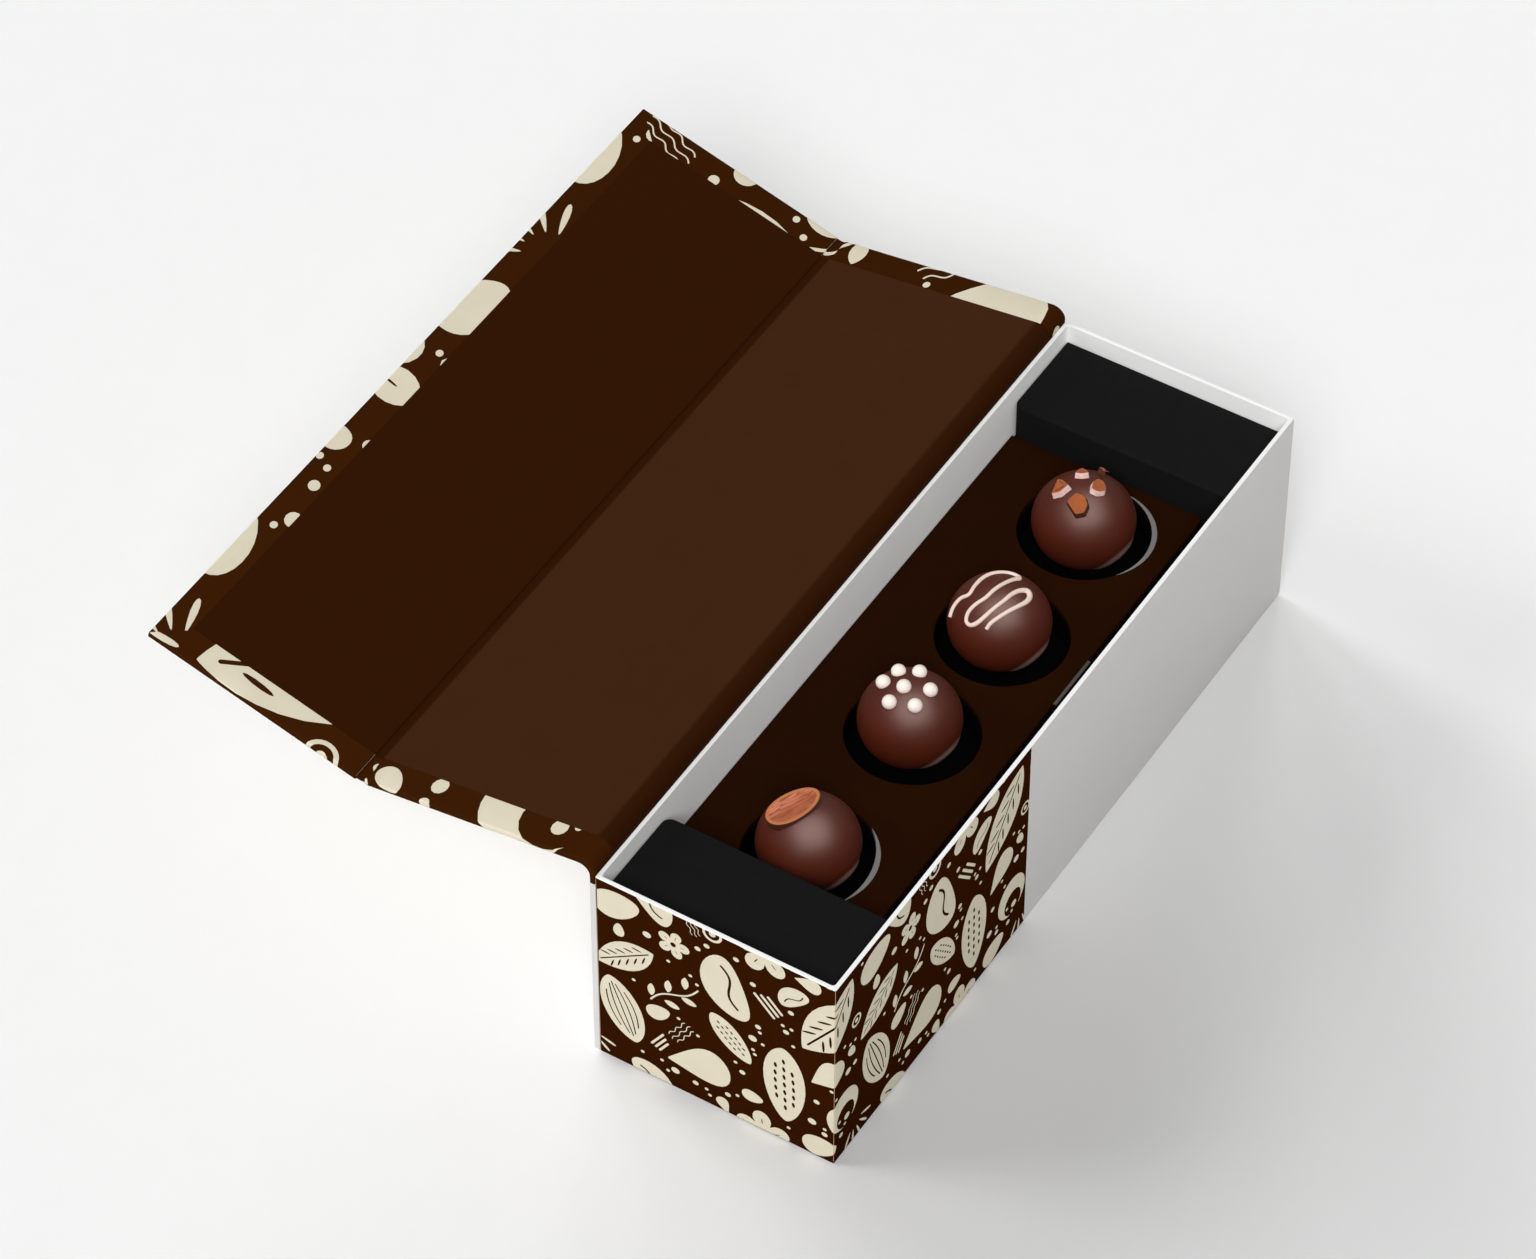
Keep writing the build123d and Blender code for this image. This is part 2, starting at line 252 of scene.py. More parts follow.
@dataclass(frozen=True)
class Foam(Finish):
    """Closed-cell foam cut with a blade, so its cells show as fine open pits."""

    def height(self, tree: bpy.types.NodeTree, place: bpy.types.NodeSocket) -> bpy.types.NodeSocket:
        """Height of the cell walls over the cells."""
        return add_node(tree, "ShaderNodeTexVoronoi", {"feature": "F1"}, {
            "Vector": place, "Scale": 1 / (self.grain_mm * MM)}).outputs["Distance"]


@dataclass(frozen=True)
class CutNut(Finish):
    """Cut flesh of a roasted nut: long streaks over a tone that turns pinker towards one side, a painted highlight."""

    # Pinker tone of the painted highlight, and where across the slice it begins and is full
    highlight_tone: str = "#D07E60"
    highlight_side_mm: Point = (-0.8, 1.6)
    streak_mm: float = 0.55
    streak_edge: Point = (0.38, 0.6)
    stretch: float = 9.0

    def tone(self, tree: bpy.types.NodeTree, place: bpy.types.NodeSocket) -> bpy.types.NodeSocket:
        """Colour in long soft streaks, on the slice's own map in millimetres."""
        flat = add_node(tree, "ShaderNodeUVMap", {"uv_map": SHEET_MAP}).outputs["UV"]
        across = add_node(tree, "ShaderNodeSeparateXYZ", inputs={"Vector": flat}).outputs["Y"]
        side = add_node(tree, "ShaderNodeMapRange", {"interpolation_type": "SMOOTHSTEP"}, {
            "Value": across, "From Min": self.highlight_side_mm[0] / MAP_MM,
            "From Max": self.highlight_side_mm[1] / MAP_MM}).outputs["Result"]
        drawn = add_node(tree, "ShaderNodeVectorMath", {"operation": "MULTIPLY"}, {
            0: flat, 1: (1 / self.stretch, 1.0, 1.0)}).outputs["Vector"]
        streaks = add_node(tree, "ShaderNodeTexNoise", inputs={
            "Vector": drawn, "Scale": MAP_MM / self.streak_mm, "Detail": 2.0, "Distortion": 0.7}).outputs["Fac"]
        sharp = add_node(tree, "ShaderNodeMapRange", inputs={
            "Value": streaks, "From Min": self.streak_edge[0], "From Max": self.streak_edge[1]}).outputs["Result"]
        base = add_node(tree, "ShaderNodeMix", {"data_type": "RGBA"}, {
            0: side, 6: linear(self.colour), 7: linear(self.highlight_tone)}).outputs[2]
        return add_node(tree, "ShaderNodeMix", {"data_type": "RGBA"}, {
            0: sharp, 6: linear(self.second), 7: base}).outputs[2]


@dataclass(frozen=True)
class LinerWithPaintedShade(Finish):
    """Dyed liner in one sheet over lid and flap, with painted shade: darkest where it bends at the spine, and darker
    again on the flap, which turns away from the light.
    """

    # Painted shade: the flap's tone and the bend's, where along the sheet the bend's shade ends and how softly, and
    # where the flap's shade is full after fading in over the fade length
    flap: str = "#311605"
    bend: str = "#301605"
    bend_shade_end_mm: float = 3.8
    bend_shade_soft_mm: float = 0.8
    crease_mm: float = 66.6
    fade_mm: float = 1.6

    def tone(self, tree: bpy.types.NodeTree, place: bpy.types.NodeSocket) -> bpy.types.NodeSocket:
        """Colour over the sheet's own map, whose V runs from the spine to the free edge, with the painted shade of the
        bend and of the flap.
        """
        lid = super().tone(tree, place)
        sheet = add_node(tree, "ShaderNodeUVMap", {"uv_map": SHEET_MAP}).outputs["UV"]
        across = add_node(tree, "ShaderNodeSeparateXYZ", inputs={"Vector": sheet}).outputs["Y"]
        for low, high, first, second in (
                (self.crease_mm - self.fade_mm, self.crease_mm, None, self.flap),
                (self.bend_shade_end_mm - self.bend_shade_soft_mm, self.bend_shade_end_mm + self.bend_shade_soft_mm, self.bend, None)):
            share = add_node(tree, "ShaderNodeMapRange", {"interpolation_type": "SMOOTHSTEP"}, {
                "Value": across, "From Min": low / MAP_MM, "From Max": high / MAP_MM}).outputs["Result"]
            lid = add_node(tree, "ShaderNodeMix", {"data_type": "RGBA"}, {
                0: share, 6: linear(first) if first else lid, 7: linear(second) if second else lid}).outputs[2]
        return lid


@dataclass(frozen=True)
class ChocolateWithPaintedSheen(Finish):
    """Chocolate with a painted sheen: a paler tone, standing for a highlight, where it swells on the side that rubs on
    its well.
    """

    # Colour of the painted sheen, a paler tone that stands for a highlight
    rub: str = "#80605A"

    def tone(self, tree: bpy.types.NodeTree, place: bpy.types.NodeSocket) -> bpy.types.NodeSocket:
        """Colour of the chocolate, and of its painted sheen where the mesh says so."""
        share = add_node(tree, "ShaderNodeAttribute", {"attribute_name": PAINTED_SHEEN_SHARE}).outputs["Fac"]
        return add_node(tree, "ShaderNodeMix", {"data_type": "RGBA"}, {
            0: share, 6: super().tone(tree, place), 7: linear(self.rub)}).outputs[2]


class Surface(Enum):
    """Every finish on the box, each named for what the real one is."""

    # Offset-printed art paper with a matt film: even, dark, hardly any gloss
    PRINTED_GROUND = PartPrinted("printed_art_paper", "#301402", "#361704", roughness=0.62, specular=0.0)
    COVER_GROUND = Finish("cover_art_paper", "#371A05", "#3E1F09", roughness=0.6, specular=0.0)
    # The same paper where nothing is printed: soft grey-white
    PLAIN_PAPER = Finish("bare_art_paper", "#DCDAD8", "#D5D3D1", roughness=0.7, specular=0.1)
    # Ink of the pattern: cream, a shade uneven where it lies thicker
    PATTERN_INK = Finish("cream_ink", "#E3DAC4", "#DBD2BA", drift_mm=6.0, roughness=0.6, specular=0.02)
    # Dyed uncoated liner: warm dark brown with a soft fibre grain, painted darker as shade at the spine's bend and on
    # the flap
    LINER = LinerWithPaintedShade("dyed_liner_paper", "#422514", "#3C2111", grain_mm=0.7, relief_mm=0.02, roughness=0.8, specular=0.03)
    # Knife-cut edge of the liner: the paler core of the sheet
    CUT_LINER = Finish("cut_liner_edge", "#6E4C33", "#5F3F28", roughness=0.85, specular=0.03)
    # White uncoated lining paper: bright, dull, faint fibres
    LINING = Finish("white_lining_paper", "#FAFAF9", "#F4F4F3", grain_mm=0.6, relief_mm=0.015, roughness=0.8,
                    specular=0.1)
    # Grey board of pressed waste paper: mottled
    GREY_BOARD = Finish("grey_board", "#9A948B", "#847E76", drift_mm=1.5, grain_mm=0.4, relief_mm=0.05,
                        roughness=0.9, specular=0.1)
    # Gummed paper tape on the corners
    STAY_TAPE = Finish("gummed_tape", "#B79A72", "#AB8D64", drift_mm=3.0, roughness=0.5)
    # Knife-cut black polyethylene foam: dull with fine pits
    FOAM = Foam("black_polyethylene_foam", "#181818", "#151515", drift_mm=4.0, grain_mm=0.7, relief_mm=0.05,
                roughness=0.88, specular=0.04)
    # The same foam deep in a well, painted darker as the shade there
    WELL_FOAM = Foam("black_foam_well", "#060606", "#040404", drift_mm=4.0, grain_mm=0.7, relief_mm=0.05,
                     roughness=0.88, specular=0.04)
    # Through-dyed dark card, nearly black brown, on a grey core
    CARD = Finish("dark_brown_card", "#251004", "#200D03", grain_mm=0.5, relief_mm=0.015, roughness=0.85,
                  specular=0.02)
    # The card's grey core, laid beside two wells as a painted highlight; then the finger tab's grey
    CARD_CORE = Finish("card_core", "#83817F", "#747270", drift_mm=1.5, roughness=0.85, specular=0.05)
    CARD_TAB = Finish("card_tab", "#52514E", "#484744", drift_mm=1.5, roughness=0.7, specular=0.2)
    # Tempered chocolate: satin, slightly waxy, with a painted sheen where it swells low on one side
    CHOCOLATE = ChocolateWithPaintedSheen(
        "tempered_chocolate", "#4E1B0B", "#451809", drift_mm=9.0, grain_mm=2.2, relief_mm=0.01, roughness=0.47,
        rough_spread=0.03, specular=0.1, ior=1.48, subsurface=0.06, gloss_tint="#FFEEE8")
    FILLING = Finish("soft_filling", "#5C3522", "#4C2A1A", drift_mm=2.0, grain_mm=0.6, relief_mm=0.1, roughness=0.6)
    # Roasted nut: streaked flesh that is pinker on one side as a painted highlight, paler rim where the blade left it,
    # dark skin below
    NUT_FLESH = CutNut("roasted_nut_flesh", "#AA5B35", "#8A4526", roughness=0.5, grain_mm=0.4, relief_mm=0.03)
    NUT_RIM = Finish("roasted_nut_rim", "#BC7248", "#AC6840", drift_mm=1.0, roughness=0.6)
    NUT_SKIN = Finish("roasted_nut_skin", "#4A2716", "#3A1D10", drift_mm=0.8, grain_mm=0.3, relief_mm=0.05,
                      roughness=0.75)
    CHOPPED_SKIN = Finish("chopped_nut_skin", "#B25D2A", "#7E3F1E", drift_mm=0.7, grain_mm=0.35, relief_mm=0.06,
                          roughness=0.5)
    CHOPPED_FLESH = Finish("chopped_nut_flesh", "#FBF1EE", "#D98F80", drift_mm=1.2, grain_mm=0.3, relief_mm=0.03,
                           roughness=0.5)
    # Panned sugar: warm white with a fine pebbled skin
    SUGAR = Finish("panned_sugar", "#FFF8F2", "#FBE8DC", drift_mm=0.5, grain_mm=0.35, relief_mm=0.03,
                   roughness=0.5, subsurface=0.15)
    # White chocolate run from a bag
    ICING = Finish("white_chocolate", "#F5E2D8", "#E6C9BA", drift_mm=2.5, grain_mm=0.8, relief_mm=0.01,
                   roughness=0.4, subsurface=0.08)
    # Nickel-plated disc, and bare mild steel
    NICKEL = Finish("nickel_plate", "#B9B7B3", "#AFADA8", drift_mm=4.0, grain_mm=0.2, relief_mm=0.002,
                    roughness=0.25, metallic=1.0)
    STEEL = Finish("mild_steel", "#8E8D8B", "#7D7C7A", drift_mm=3.0, grain_mm=0.2, relief_mm=0.004, roughness=0.4,
                   metallic=1.0)

    def make(self) -> bpy.types.Material:
        """Gives the finish's material."""
        return self.value.make()


# Work on meshes


def choose(piece: bpy.types.Object) -> None:
    """Makes a piece the active one, and the only one selected.

    Args:
        piece: Piece to choose.
    """
    bpy.ops.object.select_all(action="DESELECT")
    bpy.context.view_layer.objects.active = piece
    piece.select_set(True)


def start_edit(piece: bpy.types.Object) -> None:
    """Chooses a piece, and opens its mesh with everything selected.

    Args:
        piece: Piece to work on.
    """
    choose(piece)
    bpy.ops.object.mode_set(mode="EDIT")
    bpy.ops.mesh.select_all(action="SELECT")


def end_edit() -> None:
    """Closes the mesh that is open."""
    bpy.ops.object.mode_set(mode="OBJECT")


def pick(piece: bpy.types.Object, kind: str, test: Callable[[Vector], bool]) -> None:
    """Selects only the edges or faces whose places pass a test. The mesh is open before and after.

    Args:
        piece: Piece whose mesh is open.
        kind: "EDGE" or "FACE".
        test: Test of a place, that both ends of an edge or all corners of a face have to pass.
    """
    bpy.ops.mesh.select_mode(type=kind)
    bpy.ops.mesh.select_all(action="DESELECT")
    end_edit()
    mesh = piece.data
    inside = [test(vertex.co) for vertex in mesh.vertices]
    parts = mesh.edges if kind == "EDGE" else mesh.polygons
    parts.foreach_set("select", [all(inside[v] for v in part.vertices) for part in parts])
    bpy.ops.object.mode_set(mode="EDIT")


def pick_edges(piece: bpy.types.Object, test: Callable[[Vector, Vector, bool], bool]) -> None:
    """Selects only the edges that pass a test, and opens the mesh. It is closed before.

    Args:
        piece: Piece whose mesh is closed.
        test: Test of an edge's two ends, and of whether it was selected.
    """
    for edge in piece.data.edges:
        a, b = (piece.data.vertices[v].co for v in edge.vertices)
        edge.select = test(a, b, edge.select)
    bpy.ops.object.mode_set(mode="EDIT")


def turn_over(piece: bpy.types.Object) -> None:
    """Turns a sheet's faces the other way.

    Args:
        piece: Sheet to turn over.
    """
    start_edit(piece)
    bpy.ops.mesh.flip_normals()
    end_edit()


def mesh_from(name: str, curve: bpy.types.Curve) -> bpy.types.Object:
    """Turns a curve to a mesh.

    Args:
        name: Name of the piece.
        curve: Curve in millimetres.

    Returns:
        The piece.
    """
    piece = bpy.data.objects.new(name, curve)
    bpy.context.scene.collection.objects.link(piece)
    choose(piece)
    bpy.ops.object.convert(target="MESH")
    return bpy.context.object


def apply_modifier(piece: bpy.types.Object, kind: str, **settings: float) -> None:
    """Adds a modifier and applies it.

    Args:
        piece: Piece that gets it.
        kind: Blender's name for the modifier's type.
        settings: Its settings.
    """
    choose(piece)
    modifier = piece.modifiers.new(kind.lower(), kind)
    for name, value in settings.items():
        setattr(modifier, name, value)
    bpy.ops.object.modifier_apply(modifier=modifier.name)


def cuboid(name: str, low: Sequence[float], high: Sequence[float]) -> bpy.types.Object:
    """Adds a cube primitive stretched between two corners, with its place in its mesh.

    Args:
        name: Name of the piece.
        low: Lowest corner.
        high: Highest corner.

    Returns:
        The piece.
    """
    middle = [(a + b) / 2 for a, b in zip(low, high)]
    bpy.ops.mesh.primitive_cube_add(size=1, location=middle)
    piece = bpy.context.object
    piece.name = name
    piece.scale = [b - a for a, b in zip(low, high)]
    settle(piece)
    return piece


def settle(piece: bpy.types.Object) -> None:
    """Moves a piece's place, turn and size into its mesh.

    Args:
        piece: Piece to settle.
    """
    choose(piece)
    bpy.ops.object.transform_apply(location=True, rotation=True, scale=True)


def folded_grid(name: str, columns: int, rows: int, fold: Callable[[int, int], Vector]) -> bpy.types.Object:
    """Adds a grid primitive and puts each of its crossings in its place.

    Args:
        name: Name of the piece.
        columns: Number of crossings along a row.
        rows: Number of rows.
        fold: Place of a crossing, from its column and row.

    Returns:
        The piece, still an open sheet.
    """
    bpy.ops.mesh.primitive_grid_add(x_subdivisions=columns - 1, y_subdivisions=rows - 1, size=1, location=(0, 0, 0))
    piece = bpy.context.object
    piece.name = name
    crossings = sorted(piece.data.vertices, key=lambda vertex: (round(vertex.co.y, 5), round(vertex.co.x, 5)))
    for number, vertex in enumerate(crossings):
        row, column = divmod(number, columns)
        vertex.co = fold(column, row)
    return piece


def round_top(piece: bpy.types.Object, top: float, radius: float, rim: float) -> None:
    """Rounds the edge of a piece's flat top and parts a rim from it. What lies within the rim is then selected.

    Args:
        piece: Piece whose mesh is open.
        top: Height of the flat.
        radius: Radius of its edge.
        rim: Width of the rim.
    """
    pick(piece, "FACE", lambda p: p.z > top - WELD_MM)
    bpy.ops.mesh.bevel(offset=radius, segments=3, affect="EDGES")
    pick(piece, "FACE", lambda p: p.z > top - WELD_MM)
    bpy.ops.mesh.inset(thickness=rim)


def draw_map(piece: bpy.types.Object, place: Callable[[Vector], Point]) -> None:
    """Gives a piece its own flat map.

    Args:
        piece: Piece in millimetres.
        place: Place on the flat map, in millimetres, from a vertex's place.
    """
    layer = piece.data.uv_layers.new(name=SHEET_MAP)
    for loop in piece.data.loops:
        u, v = place(piece.data.vertices[loop.vertex_index].co)
        layer.data[loop.index].uv = (u / MAP_MM, v / MAP_MM)


def join(name: str, pieces: Sequence[bpy.types.Object]) -> bpy.types.Object:
    """Joins pieces that are one thing into one mesh.

    Args:
        name: Name of the result.
        pieces: Pieces to join.

    Returns:
        The joined piece.
    """
    bpy.ops.object.select_all(action="DESELECT")
    for piece in pieces:
        piece.select_set(True)
    bpy.context.view_layer.objects.active = pieces[0]
    bpy.ops.object.join()
    pieces[0].name = name
    return pieces[0]


def dress(piece: bpy.types.Object, surfaces: Iterable[Surface]) -> None:
    """Gives a piece its finishes, unless it has them already, and keeps the numbers on its faces.

    Args:
        piece: Piece to dress.
        surfaces: Finishes in the order of the mesh's material numbers.
    """
    if not piece.data.materials:
        for surface in surfaces:
            piece.data.materials.append(surface.make())


def finish_piece(piece: bpy.types.Object, surfaces: Iterable[Surface], slot: str, body: str = "",
                 stands_for: Sequence[str] = (), smooth_degrees: float = 35.0) -> None:
    """Turns a piece to metres, dresses it and says what it rides on.

    Args:
        piece: Piece in millimetres, with its place in its mesh.
        surfaces: Finishes in the order of the mesh's material numbers.
        slot: Material slot of the record; not used.
        body: Body that carries it, or nothing for a piece that rides on no body.
        stands_for: CAD nodes that it replaces.
        smooth_degrees: Sharpest angle that is shaded smooth.
    """
    piece.data.transform(Matrix.Scale(MM, 4))
    dress(piece, surfaces)
    choose(piece)
    bpy.ops.object.shade_smooth_by_angle(angle=math.radians(smooth_degrees))
    if body:
        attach(piece, body)
    if stands_for:
        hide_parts(*stands_for)
    log.info("%s: %d faces", piece.name, len(piece.data.polygons))


def round_edge(run: float, thickness: float, radius: float) -> tuple[float, float, Vector]:
    """Follows a sheet that turns back round the edge of a board.

    Args:
        run: Length of sheet past the point where the turn begins.
        thickness: Thickness of the wrapped board.
        radius: Radius of the two corners of its edge.

    Returns:
        How far outward the point is from where the turn begins, how far down the board's edge it is, and the way
        that the sheet faces there, as outward and down.
    """
    arc = radius * math.pi / 2
    flat = thickness - 2 * radius
    if run <= 0:
        return run, 0.0, Vector((0.0, -1.0))
    if run < arc:
        turn = run / radius
        return radius * math.sin(turn), radius - radius * math.cos(turn), Vector((math.sin(turn), -math.cos(turn)))
    if run < arc + flat:
        return radius, radius + run - arc, Vector((1.0, 0.0))
    if run < 2 * arc + flat:
        turn = (run - arc - flat) / radius
        return (radius * math.cos(turn), radius + flat + radius * math.sin(turn),
                Vector((math.cos(turn), math.sin(turn))))
    return 2 * arc + flat - run, thickness, Vector((0.0, 1.0))


# Printed pattern. Each motif is drawn a length of 1 along X, and the numbers in it are shares of that length.


def oval(length: float, width: float, sharp: float = 0.0, taper: float = 0.0, bend: float = 0.0,
         steps: int = 32) -> Loop:
    """Closed outline from an ellipse to a leaf.

    Args:
        length: Length along X.
        width: Width across.
        sharp: 0 for round ends, 1 for pointed ones.
        taper: Share by which one end is wider and the other narrower.
        bend: How far the middle bows aside.
        steps: Number of points.

    Returns:
        The outline's points.
    """
    loop = []
    for step in range(steps):
        angle = 2 * math.pi * step / steps
        x, rise = math.cos(angle), math.sin(angle)
        y = rise * abs(rise) ** sharp * (1 + taper * x) * width / 2
        loop.append((x * length / 2, y + bend * (x * x - 0.5)))
    return loop


def ribbon(points: Sequence[Point], width: float) -> Loop:
    """Outline of a line of even width with round ends.

    Args:
        points: Middle of the line.
        width: Its width.

    Returns:
        The outline's points.
    """
    left, right = [], []
    for number, (x, y) in enumerate(points):
        x0, y0 = points[max(number - 1, 0)]
        x1, y1 = points[min(number + 1, len(points) - 1)]
        run = math.hypot(x1 - x0, y1 - y0)
        aside = (-(y1 - y0) / run * width / 2, (x1 - x0) / run * width / 2)
        left.append((x + aside[0], y + aside[1]))
        right.append((x - aside[0], y - aside[1]))
    ends = []
    for (x, y), (x0, y0) in ((points[-1], left[-1]), (points[0], right[0])):
        start = math.atan2(y0 - y, x0 - x)
        ends.append([(x + width / 2 * math.cos(start - turn), y + width / 2 * math.sin(start - turn))
                     for turn in (math.pi / 4, math.pi / 2, 3 * math.pi / 4)])
    return left + ends[0] + right[::-1] + ends[1]


def placed(loop: Loop, x: float, y: float, turn: float = 0.0, size: float = 1.0) -> Loop:
    """Moves an outline to its place.

    Args:
        loop: Outline about the origin.
        x: Place along.
        y: Place across.
        turn: Turn in degrees.
        size: Factor on its size.

    Returns:
        The moved outline.
    """
    c, s = math.cos(math.radians(turn)) * size, math.sin(math.radians(turn)) * size
    return [(x + a * c - b * s, y + a * s + b * c) for a, b in loop]


def wave(start: float, end: float, rise: float, turns: float = 1.0, steps: int = 14) -> list[Point]:
    """Points of a wavy line along X.

    Args:
        start: Its start.
        end: Its end.
        rise: Height of the wave.
        turns: Number of waves.
        steps: Number of steps.

    Returns:
        The points.
    """
    return [(start + (end - start) * k / steps, rise * math.sin(2 * math.pi * turns * k / steps))
            for k in range(steps + 1)]


def bean() -> list[Loop]:
    """Cocoa bean with its slit."""
    slit = ribbon(wave(-0.33, 0.33, 0.055), 0.035)
    return [oval(1, 0.58, bend=-0.10), placed(slit, 0, -0.04)]


def leaf() -> list[Loop]:
    """Leaf with a midrib and side veins."""
    veins = [placed(oval(0.15, 0.026, steps=10), x, side * 0.085, side * 38)
             for x in (-0.27, -0.13, 0.01, 0.15, 0.27) for side in (-1, 1)]
    return [oval(1, 0.46, sharp=0.8, taper=-0.1), ribbon([(-0.41, 0), (0, 0), (0.41, 0)], 0.02)] + veins


def pod() -> list[Loop]:
    """Pod cut open over three rows of seeds."""
    seeds = [placed(oval(0.07, 0.034, steps=8), 0.105 * column + 0.02 * row, 0.095 * row * (1 - 0.02 * column ** 2), 8)
             for row in (-1, 0, 1) for column in range(-3 + abs(row), 4 - abs(row))]
    return [oval(1, 0.44, sharp=0.25, taper=0.12)] + seeds


def ridged_pod() -> list[Loop]:
    """Whole pod with its ridges."""
    ridges = []
    for row in (-2, -1, 0, 1, 2):
        reach = 0.40 - 0.035 * row * row
        spots = [reach * k / 7 for k in range(-7, 8)]
        ridges.append(ribbon([(x, 0.082 * row * (1 - (x / 0.52) ** 2)) for x in spots], 0.018))
    return [oval(1, 0.52, sharp=0.3)] + ridges


def drop() -> list[Loop]:
    """Drop of melted chocolate."""
    return [oval(1, 0.56, taper=-0.72, sharp=0.1)]


def pebble() -> list[Loop]:
    """Round dragee."""
    return [oval(1, 0.66, taper=0.25)]


def crescent() -> list[Loop]:
    """Shaving curled to a crescent."""
    outer = [(0.5 * math.cos(math.radians(18 + 12 * k)), 0.5 * math.sin(math.radians(18 + 12 * k))) for k in range(28)]
    centre, radius = 0.21, 0.31
    start, end = (math.atan2(y, x - centre) % (2 * math.pi) for x, y in (outer[-1], outer[0]))
    inner = [(centre + radius * math.cos(start + (end - start) * k / 16),
              radius * math.sin(start + (end - start) * k / 16)) for k in range(1, 16)]
    return [outer + inner]


def flower() -> list[Loop]:
    """Five-petalled flower with an open heart."""
    outline = []
    for k in range(60):
        turn = 2 * math.pi * k / 60
        reach = 0.23 + 0.27 * abs(math.cos(2.5 * turn)) ** 0.7
        outline.append((reach * math.cos(turn), reach * math.sin(turn)))
    slits = [placed(oval(0.13, 0.022, steps=8), 0.27 * math.cos(math.radians(turn)),
                    0.27 * math.sin(math.radians(turn)), turn) for turn in range(0, 360, 72)]
    return [outline, oval(0.17, 0.17, steps=16)] + slits


def ring() -> list[Loop]:
    """Dot in a ring."""
    return [oval(1, 1, steps=24), oval(0.72, 0.72, steps=20), oval(0.34, 0.34, steps=14)]


def dashes() -> list[Loop]:
    """Three short bars."""
    return [placed(ribbon([(-0.47 + 0.07 * k, 0), (0.47 - 0.07 * k, 0)], 0.1), 0.05 * k, 0.2 * k - 0.2)
            for k in range(3)]


def fan() -> list[Loop]:
    """Five strokes that spread."""
    return [placed(oval(0.52, 0.085, steps=14, taper=0.4), 0.62 * math.cos(math.radians(turn)) - 0.35,
                   0.62 * math.sin(math.radians(turn)), turn) for turn in (-52, -26, 0, 26, 52)]


def twig() -> list[Loop]:
    """Stem with five small leaves."""
    leaves = [placed(oval(0.25, 0.12, sharp=0.6, steps=18), x, side * 0.155, side * 48)
              for x, side in ((-0.36, 1), (-0.18, -1), (0.0, 1), (0.18, -1), (0.36, 1))]
    return [ribbon(wave(-0.5, 0.5, 0.05), 0.028)] + leaves


def ripple() -> list[Loop]:
    """Three thin wavy lines."""
    return [placed(ribbon(wave(-0.5 + 0.06 * abs(row), 0.5 - 0.06 * abs(row), 0.035, 2.5, 26), 0.026), 0, 0.16 * row)
            for row in (-1, 0, 1)]


